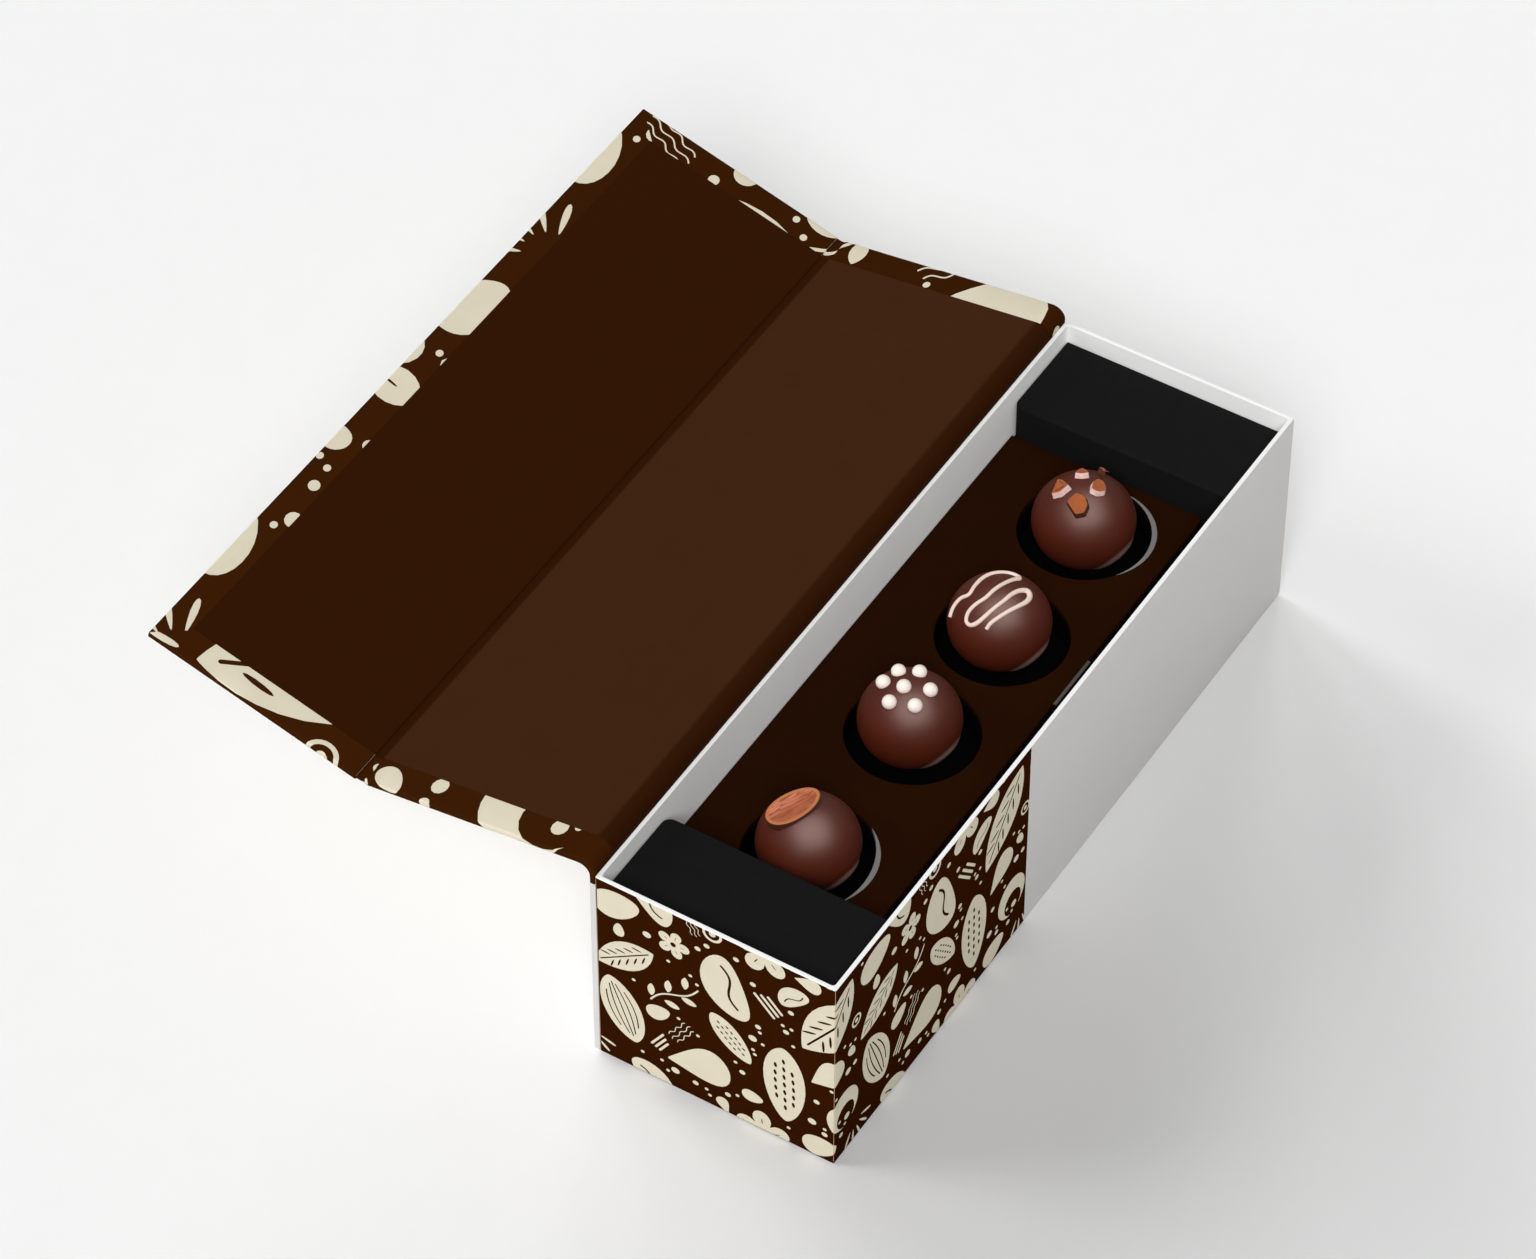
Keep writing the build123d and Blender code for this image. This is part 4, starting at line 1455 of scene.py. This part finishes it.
    def line(self, name: str, stations: list[Station], reach: float, start: float) -> bpy.types.Object:
        """Lays the plain liner over the wrap's turned-in borders.

        Args:
            name: Name of the piece.
            stations: Sections that it follows.
            reach: Half its length along the box.
            start: Place of the first section on the sheet's map, counted along the lid from the hinge.

        Returns:
            The piece, a closed sheet whose cut edge has its own finish.
        """
        columns = 5

        def fold(column: int, row: int) -> Vector:
            """Place of a crossing of the liner's grid."""
            at = stations[row].inner
            return Vector((reach * (2 * column / (columns - 1) - 1), at.x, at.y))

        piece = folded_grid(name, columns, len(stations), fold)
        middle = piece.data.polygons[len(piece.data.polygons) // 2]
        way = stations[len(stations) // 2].inner - stations[len(stations) // 2].outer
        if middle.normal.y * way.x + middle.normal.z * way.y < 0:
            turn_over(piece)
        lengths = self.track(stations, inside=True)
        places = {tuple(round(c, 3) for c in fold(0, row))[1:]: length for row, length in enumerate(lengths)}
        draw_map(piece, lambda p: (p.x, start + places[round(p.y, 3), round(p.z, 3)]))
        apply_modifier(piece, "SOLIDIFY", thickness=self.liner, offset=1.0, material_offset_rim=1)
        return piece

    def track(self, stations: list[Station], inside: bool = False) -> list[float]:
        """Running length of the cover's outer or inner face at each section.

        Args:
            stations: Sections along the cover.
            inside: Whether to follow the inner face.

        Returns:
            The lengths.
        """
        points = [station.inner if inside else station.outer for station in stations]
        lengths = [0.0]
        for a, b in zip(points, points[1:]):
            lengths.append(lengths[-1] + (b - a).length)
        return lengths

    def sheet_point(self, stations: list[Station], lengths: list[float], along: float, across: float,
                    height: float) -> Vector:
        """Place on the wrap of a point of its flat sheet.

        Args:
            stations: Sections along the cover.
            lengths: Running length at each.
            along: Length along X on the flat sheet, past the half length where it turns round the board's end.
            across: Length across the box on the flat sheet, past the last section where it turns round the free edge.
            height: Height over the paper.

        Returns:
            The place.
        """
        span = max(0, min(len(lengths) - 2, sum(1 for value in lengths if value <= across) - 1))
        share = (across - lengths[span]) / max(lengths[span + 1] - lengths[span], 1e-6)
        over_edge = across > lengths[-1] + WELD_MM
        share = min(max(share, 0.0), 1.0)
        outer = stations[span].outer.lerp(stations[span + 1].outer, share)
        inner = stations[span].inner.lerp(stations[span + 1].inner, share)
        inward, thick = Station(outer, inner).inward()
        ahead = Vector((-inward.y, inward.x))
        if ahead.dot(stations[span + 1].outer - stations[span].outer) < 0:
            ahead = -ahead
        radius = min(self.corner, thick / 2 - self.least_flat)
        if over_edge:
            out, down, facing = round_edge(across - lengths[-1], thick, radius)
            at = outer + ahead * (out + facing.x * height) + inward * (down + facing.y * height)
            return Vector((along, at.x, at.y))
        out, down, facing = round_edge(abs(along) - self.half_length + radius, thick, radius)
        side = 1.0 if along > 0 else -1.0
        at = outer + inward * (down + facing.y * height)
        return Vector((side * (self.half_length - radius + out + facing.x * height), at.x, at.y))

    def print_wrap(self, name: str, stations: list[Station], start: float, free: bool) -> bpy.types.Object:
        """Prints the pattern on the outside of the wrap and on its turned-in borders.

        Args:
            name: Name of the piece.
            stations: Sections along the cover, without those of a free edge.
            start: Length across the whole sheet at the first section, which keeps the pattern running on.
            free: Whether the last section is the flap's free edge.

        Returns:
            The ink.
        """
        lengths = self.track(stations)
        lap = self.thickness - 2 * self.corner + math.pi * self.corner
        flat = self.half_length - self.corner
        far = flat + lap + self.end_border - self.corner + self.border_hidden
        arc = self.corner * math.pi / 2
        turns = [arc * k / self.arc_cuts for k in range(self.arc_cuts + 1)]
        turns += [lap - turn for turn in turns]

        def fold(along: float, across: float, height: float) -> Vector:
            """Place on the wrap of a point of its flat sheet."""
            return self.sheet_point(stations, lengths, along, across, height)

        cuts = [side * (flat + turn) for side in (-1, 1) for turn in turns]
        shift = (self.pattern_shift[0], self.pattern_shift[1] - start)
        mitre = [((side * (flat + lap), lengths[-1]), (side, 1.0)) for side in (-1, 1)] if free else []
        inks = [self.pattern.print_on(
            name, (-far, 0.0), (far, lengths[-1]), fold, along_cuts=cuts, across_cuts=lengths[1:-1],
            corners=mitre, scale=self.pattern_scale, shift=shift)]
        if free:
            end = lengths[-1]
            corners = [((side * flat, end + lap), (side, 1.0)) for side in (-1, 1)]
            inks.append(self.pattern.print_on(
                name, (-flat, end), (flat, end + lap + self.free_border), fold,
                across_cuts=[end + turn for turn in turns], corners=corners, scale=self.pattern_scale, shift=shift))
        return join(name, inks)

    def build(self) -> None:
        """Builds the back panel, the wrap, the liner and the print."""
        self.build_back()
        spine, panels = self.spine_stations(), self.panel_stations()
        start = self.track(spine)[-1]
        inner_run = self.track(spine, inside=True)[-1]
        border = self.half_length - self.end_border
        # The ink's sheet stops where the flap's free edge turns round, and the liner at the border beside it
        flat_panels = panels[:1 - self.corner_points]
        liner_end = Station(*(self.flap(self.flap_end - self.free_border, out - self.fold_out)
                              for out in (self.lid_outer, self.lid_outer + self.thickness)))
        liner_panels = panels[:-self.corner_points] + [liner_end]
        pieces = (
            (self.wrap("spine_wrap", spine), [Surface.COVER_GROUND], "cover_wrap", ["cover_spine"], True),
            (self.line("spine_liner", spine, border, self.seam - inner_run),
             [Surface.LINER, Surface.CUT_LINER], "cover_liner", [], True),
            (self.print_wrap("spine_pattern", spine, 0.0, False), [Surface.PATTERN_INK], "cover_wrap", [], True),
            (self.wrap("panel_wrap", panels), [Surface.COVER_GROUND], "cover_wrap",
             ["lid_wrap", "flap_wrap", "cover_fold"], False),
            (self.print_wrap("panel_pattern", flat_panels, start, True),
             [Surface.PATTERN_INK], "cover_wrap", [], False),
            (self.line("panel_liner", liner_panels, border, self.seam),
             [Surface.LINER, Surface.CUT_LINER], "cover_liner", ["lid_liner", "flap_liner"], False))
        before, after = ((station.outer + station.inner) / 2
                         for station in spine[self.hand_over_at - 1:self.hand_over_at + 1])
        for piece, surfaces, slot, stands_for, at_spine in pieces:
            finish_piece(piece, surfaces, slot, stands_for=stands_for)
            if at_spine:
                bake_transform(piece)
            else:
                crease = self.fold_along - self.half_groove
                self.lift(self.lid(crease, self.fold_out))
                self.lift(self.flap(self.half_groove, 0.0))
                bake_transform(piece)

    def lift(self, point: Vector) -> Vector:
        """Turns a point of the section to a place in metres."""
        return Vector((0.0, point.x, point.y)) * MM

    def build_back(self) -> None:
        """Wraps the board that is glued to the tray's back in bare paper."""
        piece = cuboid(
            "back_panel",
            (-self.half_length - self.back_proud, self.tray_back - self.back_sunk, self.back_foot - self.back_proud),
            (self.half_length + self.back_proud, self.back_face, self.strip_foot))
        start_edit(piece)
        pick(piece, "EDGE", lambda p: p.y > self.back_face - NEAR_MM)
        bpy.ops.mesh.bevel(offset=self.back_round, segments=3, affect="EDGES")
        end_edit()
        apply_modifier(piece, "SOLIDIFY", thickness=self.back_paper, offset=-1.0)
        finish_piece(piece, [Surface.PLAIN_PAPER], "plain_wrap", "tray", ["cover_back_wrap"])


@dataclass(frozen=True)
class Insert:
    """Black foam insert under a dark card, whose grey core shows beside two of the wells as a painted highlight, and
    on its finger tab.
    """

    card_top: float = 48.0
    well_radius: float = 16.9
    edge_height: float = 1.4
    edge_proud: float = 0.03
    edge_steps: int = 40
    # Share of its greatest width that a crescent of painted highlight keeps at its tips
    least_swell: float = 0.02
    # Each crescent, the card's grey core as a painted highlight where light catches a well's edge: its well, the
    # well's centre, the way it faces and half its sweep in degrees, and how far its inner and its outer arc stand off
    # the well's edge
    highlight_crescents: tuple = ((1, (-65.4, 1.39), -76.0, 46.0, -1.35, 0.0), (4, (61.6, -0.73), -64.0, 58.0, 0.05, 1.35))
    tab_low: Triple = (6.9, -24.33, 47.6)
    tab_high: Triple = (23.9, -23.5, 48.05)
    tab_round: float = 0.08

    def build(self) -> None:
        """Builds the crescents of grey core beside two wells, a painted highlight, and the card's finger tab."""
        for row in self.highlight_crescents:
            self.build_highlight_crescent(*row)
        tab = cuboid("card_tab", self.tab_low, self.tab_high)
        apply_modifier(tab, "BEVEL", width=self.tab_round, segments=2)
        finish_piece(tab, [Surface.CARD_TAB], "brown_card", "insert")

    def build_highlight_crescent(self, number: int, centre: Point, way: float, sweep: float, inner: float, outer: float) -> None:
        """Builds the crescent of grey core beside one well: a painted highlight where light catches the well's edge.

        Args:
            number: Number of the well.
            centre: Its centre.
            way: The way that the crescent faces, in degrees.
            sweep: Half the angle that it spans, in degrees.
            inner: How far its inner arc stands off the well's edge at the middle.
            outer: How far its outer arc does.
        """
        tip = math.cos(math.radians(sweep))

        def fold(column: int, row: int) -> Vector:
            """Place of a crossing on the inner or the outer arc."""
            turn = math.radians(sweep) * (2 * column / self.edge_steps - 1)
            swell = (math.cos(turn) - tip) / (1 - tip)
            radius = self.well_radius + (inner, outer)[row] * max(swell, self.least_swell)
            angle = math.radians(way) + turn
            return Vector((centre[0] + radius * math.cos(angle), centre[1] + radius * math.sin(angle),
                           self.card_top + self.edge_proud))

        piece = folded_grid(f"well_edge_{number}", self.edge_steps + 1, 2, fold)
        if piece.data.polygons[0].normal.z < 0:
            turn_over(piece)
        apply_modifier(piece, "SOLIDIFY", thickness=self.edge_height, offset=-1.0)
        finish_piece(piece, [Surface.CARD_CORE], "brown_card", "insert")


@dataclass(frozen=True)
class Sweets:
    """Four round sweets, each with its own topping."""

    radius: float = 13.0
    half_height: float = 11.7
    foot: float = 0.4
    shell: float = 2.4
    foot_edge: float = 0.3
    # The moulds differ by a little
    sizes: tuple[float, ...] = (0.988, 0.996, 1.002, 1.014)
    # Where a sweet rubs on its well and shows a painted sheen, a paler tone that stands for a highlight: the way it
    # faces, its width and soft edge in degrees, and how far it swells
    swell_and_sheen_way: Triple = (-0.03, -0.765, -0.643)
    swell_and_sheen_spread: float = 35.0
    swell_and_sheen_soft: float = 5.0
    rub_swell: float = 0.3
    centres: tuple = ((-63.71, 2.79, 50.0), (-17.0, 2.72, 50.0), (22.2, 0.61, 50.0), (63.29, 0.39, 50.0))
    slice_size: Triple = (14.4, 8.3, 1.9)
    slice_place: Point = (-0.10, 0.27)
    slice_turn: float = -31.0
    slice_lean: float = 9.0
    slice_sunk: float = 0.9
    # Exponent that blunts its ends, and share by which one end is narrower
    slice_blunt: float = 0.94
    slice_taper: float = 0.08
    slice_round: float = 0.3
    slice_rim: float = 0.3
    # Width and depth of the step from the rim to the flesh
    slice_step: Point = (0.25, 0.1)
    # Its skin begins this far below the top, or where a face looks up by less than this
    skin_depth: float = 0.25
    skin_upward: float = 0.3
    pearl_radius: float = 1.85
    pearl_proud: float = 0.37
    pearl_flat: float = 0.96
    pearls: tuple = ((0.247, 0.403), (0.407, 0.056), (-0.11, 0.512), (-0.106, 0.08), (0.117, -0.345),
                     (-0.479, 0.161), (-0.334, -0.294))
    line_width: float = 1.1
    line_proud: float = 0.1
    line_steps: int = 5
    # The line's places on the crown, with its own thickness at each
    line: tuple = (
        (-0.627, 0.709, 1.0), (-0.50, 0.71, 1.0), (-0.379, 0.634, 0.95), (-0.31, 0.50, 0.9), (-0.107, 0.498, 0.95),
        (0.136, 0.469, 1.05), (0.35, 0.38, 1.0), (0.50, 0.22, 0.95), (0.56, 0.05, 1.0), (0.514, -0.11, 1.15),
        (0.348, -0.055, 1.0), (0.134, 0.014, 0.95), (-0.083, 0.082, 0.95), (-0.316, 0.14, 0.9), (-0.487, 0.254, 0.9),
        (-0.636, 0.32, 0.9), (-0.756, 0.29, 0.9), (-0.80, 0.182, 1.0), (-0.76, 0.074, 1.1), (-0.643, -0.016, 1.0),
        (-0.446, -0.107, 0.9), (-0.227, -0.192, 0.95), (-0.01, -0.241, 1.05), (0.178, -0.308, 1.15),
        (0.286, -0.406, 1.4), (0.22, -0.50, 1.4), (0.069, -0.523, 1.2), (-0.114, -0.471, 1.05),
        (-0.319, -0.378, 1.0), (-0.527, -0.268, 0.95), (-0.67, -0.183, 0.95), (-0.768, -0.152, 0.9))
    # Each chopped piece: its place on the crown, whether its flesh shows at the side, and its corners in millimetres
    nuts: tuple = (
        (-0.227, 0.40, True, ((2.3, 1.6), (2.2, 0.1), (0.7, -2.7), (-2.0, -1.3), (-2.8, 1.0))),
        (0.205, 0.202, True, ((2.0, 1.0), (1.5, -0.8), (0.7, -1.8), (-0.7, -0.4), (-1.1, 1.4), (0.6, 1.5))),
        (0.572, -0.005, False, ((0.2, 1.2), (1.3, 0.3), (0.6, -0.8), (-0.7, -1.4), (-0.5, -0.2))),
        (0.058, -0.232, True, ((2.1, 1.7), (2.5, 0.1), (1.3, -1.5), (-0.2, -2.1), (-1.8, -0.8), (-2.0, 1.1),
                               (0.2, 2.1))),
        (-0.42, -0.088, False, ((2.4, 1.8), (2.5, -0.8), (0.8, -2.6), (-1.6, -2.9), (-3.1, -1.1), (-1.8, 1.2),
                                (-0.9, 2.8))))
    nut_scale: float = 1.12
    nut_height: float = 2.3
    nut_sunk: float = 0.6
    nut_corner: float = 0.5
    nut_taper: float = 0.84
    nut_round: float = 0.22
    # Width of the rim round its dished top, and the dish's depth
    nut_rim: float = 0.45
    nut_dish: float = 0.14
    # Below this share of the sunk part all is skin; its sides end this far below the top, or where a face looks up by
    # more than this
    foot_share: float = 0.6
    side_depth: float = 0.16
    side_upward: float = 0.7
    bit_surfaces: tuple = (Surface.CHOPPED_SKIN, Surface.CHOPPED_FLESH, Surface.NUT_SKIN)

    def build(self) -> None:
        """Builds the shells and the toppings."""
        for number, centre in enumerate(self.centres, 1):
            self.build_shell(number, Vector(centre))
        toppings = (
            (self.nut_slice(), [Surface.NUT_FLESH, Surface.NUT_RIM, Surface.NUT_SKIN], "almond", "nut_slice"),
            (self.pearl_beads(), [Surface.SUGAR], "sugar_pearl", "pearls"),
            (self.drizzle(), [Surface.ICING], "icing", "drizzle"),
            (self.nut_bits(), self.bit_surfaces, "chopped_nut", "nut_pieces"))
        for number, (piece, surfaces, slot, name) in enumerate(toppings, 1):
            piece.name = f"topping_{number}_{name}"
            piece.data.transform(Matrix.Translation(Vector(self.centres[number - 1])))
            finish_piece(piece, surfaces, slot, f"sweet_{number}", [f"sweet_{number}_{name}"])

    def build_shell(self, number: int, centre: Vector) -> None:
        """Moulds one chocolate shell, with a flat foot and the swelling where it rubs on its well, whose paler tone
        there is a painted sheen.

        Args:
            number: Number of the sweet.
            centre: Its centre.
        """
        size = self.sizes[number - 1]
        bpy.ops.mesh.primitive_uv_sphere_add(segments=96, ring_count=64, radius=self.radius * size, location=(0, 0, 0))
        piece = bpy.context.object
        piece.name = f"chocolate_{number}"
        piece.scale = (1, 1, self.half_height / self.radius)
        settle(piece)
        start_edit(piece)
        bottom = -self.half_height * size + self.foot
        bpy.ops.mesh.bisect(plane_co=(0, 0, bottom), plane_no=(0, 0, -1), use_fill=True, clear_outer=True)
        pick(piece, "FACE", lambda p: p.z < bottom + WELD_MM)
        bpy.ops.mesh.bevel(offset=self.foot_edge, segments=3, affect="EDGES")
        end_edit()
        way = Vector(self.swell_and_sheen_way).normalized()
        spread, soft = math.radians(self.swell_and_sheen_spread), math.radians(self.swell_and_sheen_soft)
        for vertex in piece.data.vertices:
            share = min(max((spread - vertex.co.angle(way)) / (2 * soft), 0.0), 1.0)
            vertex.co += vertex.co.normalized() * self.rub_swell * share * share * (3 - 2 * share)
        apply_modifier(piece, "SOLIDIFY", thickness=self.shell, offset=-1.0)
        # Painted sheen: a paler tone that stands for a highlight, over the swelling and its soft edge
        rub = piece.data.attributes.new(PAINTED_SHEEN_SHARE, "FLOAT", "POINT")
        for vertex in piece.data.vertices:
            share = (spread - vertex.co.angle(way)) / soft + 0.5
            rub.data[vertex.index].value = min(max(share, 0.0), 1.0)
        piece.data.transform(Matrix.Translation(centre))
        finish_piece(piece, [Surface.CHOCOLATE], "chocolate", f"sweet_{number}", [f"sweet_{number}_shell"],
                     smooth_degrees=60.0)

    def crown(self, along: float, across: float) -> tuple[Vector, Vector]:
        """Place on a sweet's crown and the way that it faces.

        Args:
            along: Share of the radius along X.
            across: Share of the radius along Y.

        Returns:
            The point about the sweet's centre, and the normal.
        """
        x, y = along * self.radius, across * self.radius
        z = self.half_height * math.sqrt(1 - along * along - across * across)
        return Vector((x, y, z)), Vector((x, y, z * (self.radius / self.half_height) ** 2)).normalized()

    def crown_frame(self, along: float, across: float, proud: float, turn: float) -> Matrix:
        """Frame that stands on the crown.

        Args:
            along: Share of the radius along X.
            across: Share of the radius along Y.
            proud: Height over the surface.
            turn: Turn about the normal, in degrees.

        Returns:
            The frame.
        """
        point, normal = self.crown(along, across)
        side = normal.cross(Vector((1, 0, 0))).normalized()
        frame = Matrix((side.cross(normal), side, normal)).transposed().to_4x4()
        frame.translation = point + normal * proud
        return frame @ Matrix.Rotation(math.radians(turn), 4, "Z")

    def nut_slice(self) -> bpy.types.Object:
        """Cuts a slice of nut: streaked flesh, a paler rim and dark skin round its side.

        Returns:
            The slice on its sweet.
        """
        length, width, thick = self.slice_size
        bpy.ops.mesh.primitive_circle_add(vertices=48, radius=1.0, fill_type="NGON", location=(0, 0, 0))
        piece = bpy.context.object
        for vertex in piece.data.vertices:
            x, y = vertex.co.x, vertex.co.y
            vertex.co = Vector((length / 2 * math.copysign(abs(x) ** self.slice_blunt, x),
                                width / 2 * y * (1 - self.slice_taper * x), 0))
        start_edit(piece)
        bpy.ops.mesh.extrude_region_move(TRANSFORM_OT_translate={"value": (0, 0, thick)})
        bpy.ops.mesh.normals_make_consistent(inside=False)
        round_top(piece, thick, self.slice_round, self.slice_rim)
        bpy.ops.mesh.inset(thickness=self.slice_step[0])
        bpy.ops.transform.translate(value=(0, 0, -self.slice_step[1]))
        end_edit()
        flesh = max(piece.data.polygons, key=lambda face: len(face.vertices) * (face.center.z > thick / 2))
        for face in piece.data.polygons:
            if face.center.z < thick - self.skin_depth or face.normal.z < self.skin_upward:
                face.material_index = 2
            elif face.index != flesh.index:
                face.material_index = 1
        draw_map(piece, lambda p: (p.x, p.y))
        frame = self.crown_frame(*self.slice_place, -self.slice_sunk, self.slice_turn)
        piece.data.transform(frame @ Matrix.Rotation(math.radians(self.slice_lean), 4, "X"))
        return piece

    def pearl_beads(self) -> bpy.types.Object:
        """Sets the sugar pearls into the crown.

        Returns:
            All pearls, on their sweet.
        """
        beads = []
        for along, across in self.pearls:
            bpy.ops.mesh.primitive_uv_sphere_add(segments=32, ring_count=20, radius=self.pearl_radius,
                                                 location=(0, 0, 0))
            bead = bpy.context.object
            bead.data.transform(Matrix.Diagonal((1.0, 1.0, self.pearl_flat, 1.0)))
            bead.data.transform(self.crown_frame(along, across, self.pearl_proud, 0.0))
            beads.append(bead)
        return join("pearls", beads)

    def drizzle(self) -> bpy.types.Object:
        """Runs the line of white chocolate to and fro over the crown.

        Returns:
            The line, on its sweet.
        """
        points = [Vector(point) for point in self.line]
        points = [points[0] * 2 - points[1]] + points + [points[-1] * 2 - points[-2]]
        track = []
        for a, b, c, d in zip(points, points[1:], points[2:], points[3:]):
            for step in range(self.line_steps):
                t = step / self.line_steps
                track.append(0.5 * (b * 2 + (c - a) * t + (a * 2 - b * 5 + c * 4 - d) * t * t
                                    + (b * 3 - a - c * 3 + d) * t ** 3))
        track.append(points[-2])
        curve = bpy.data.curves.new("drizzle", "CURVE")
        curve.dimensions, curve.bevel_depth, curve.bevel_resolution = "3D", self.line_width / 2, 4
        curve.use_fill_caps = True
        spline = curve.splines.new("POLY")
        spline.points.add(len(track) - 1)
        for point, spot in zip(spline.points, track):
            on, normal = self.crown(spot.x, spot.y)
            point.co = (*(on + normal * self.line_proud), 1.0)
            point.radius = spot.z
        piece = mesh_from("drizzle", curve)
        start_edit(piece)
        bpy.ops.mesh.remove_doubles(threshold=WELD_MM)
        bpy.ops.mesh.normals_make_consistent(inside=False)
        end_edit()
        return piece

    def nut_bits(self) -> bpy.types.Object:
        """Chops a nut into flat bits with roasted skin on top and pale flesh at the sides.

        Returns:
            All pieces, on their sweet.
        """
        return join("nut_bits", [self.nut_bit(*row) for row in self.nuts])

    def nut_bit(self, along: float, across: float, fleshy: bool, corners: tuple) -> bpy.types.Object:
        """Chops one bit.

        Args:
            along: Share of the radius along X.
            across: Share of the radius along Y.
            fleshy: Whether its sides show pale flesh.
            corners: Its corners in millimetres.

        Returns:
            The bit on its sweet.
        """
        bpy.ops.mesh.primitive_circle_add(vertices=len(corners), radius=1.0, fill_type="NGON", location=(0, 0, 0))
        bit = bpy.context.object
        for vertex, corner in zip(bit.data.vertices, reversed(corners)):
            vertex.co = Vector((*corner, 0.0)) * self.nut_scale
        start_edit(bit)
        bpy.ops.mesh.bevel(offset=self.nut_corner, segments=3, affect="VERTICES")
        bpy.ops.mesh.select_all(action="SELECT")
        bpy.ops.mesh.extrude_region_move(TRANSFORM_OT_translate={"value": (0, 0, self.nut_height)})
        bpy.ops.transform.resize(value=(self.nut_taper, self.nut_taper, 1.0))
        bpy.ops.mesh.select_all(action="SELECT")
        bpy.ops.mesh.normals_make_consistent(inside=False)
        round_top(bit, self.nut_height, self.nut_round, self.nut_rim)
        bpy.ops.transform.translate(value=(0, 0, -self.nut_dish))
        end_edit()
        for face in bit.data.polygons:
            if face.center.z < self.nut_sunk * self.foot_share:
                face.material_index = 2
            elif face.center.z < self.nut_height - self.side_depth and face.normal.z < self.side_upward:
                face.material_index = 1 if fleshy else 2
        bit.data.transform(self.crown_frame(along, across, -self.nut_sunk, 0.0))
        dress(bit, self.bit_surfaces)
        return bit


def dress_nodes(nodes: dict[str, bpy.types.Object]) -> None:
    """Gives the CAD nodes that stay their finishes.

    Args:
        nodes: CAD nodes by name.
    """
    # The foam of the wells and of the base gets the darker copy, painted shade of the wells
    finishes = {
        "foam_wells": Surface.WELL_FOAM, "foam_base": Surface.WELL_FOAM, "foam": Surface.FOAM,
        "board": Surface.GREY_BOARD, "stays": Surface.STAY_TAPE, "floor_paper": Surface.LINING,
        "keeper": Surface.STEEL, "magnets": Surface.NICKEL, "card": Surface.CARD, "filling": Surface.FILLING}
    for name, node in nodes.items():
        surface = next((surface for word, surface in finishes.items() if word in name), None)
        if surface:
            node.data.materials.clear()
            node.data.materials.append(surface.make())
            log.info("%s: %s", name, surface.value.name)


def main() -> None:
    """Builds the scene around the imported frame."""
    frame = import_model()
    model_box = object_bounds()
    dress_nodes(frame["nodes"])
    for part in (Tray(), Cover(), Insert(), Sweets(), Studio()):
        log.info("building %s", type(part).__name__)
        part.build()
    boxes = {"model": model_box, "visual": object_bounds()}
    {name: [list(corner) for corner in box] for name, box in boxes.items()}


if __name__ == "__main__":
    logging.basicConfig(level=logging.INFO, format="%(message)s")
    main()
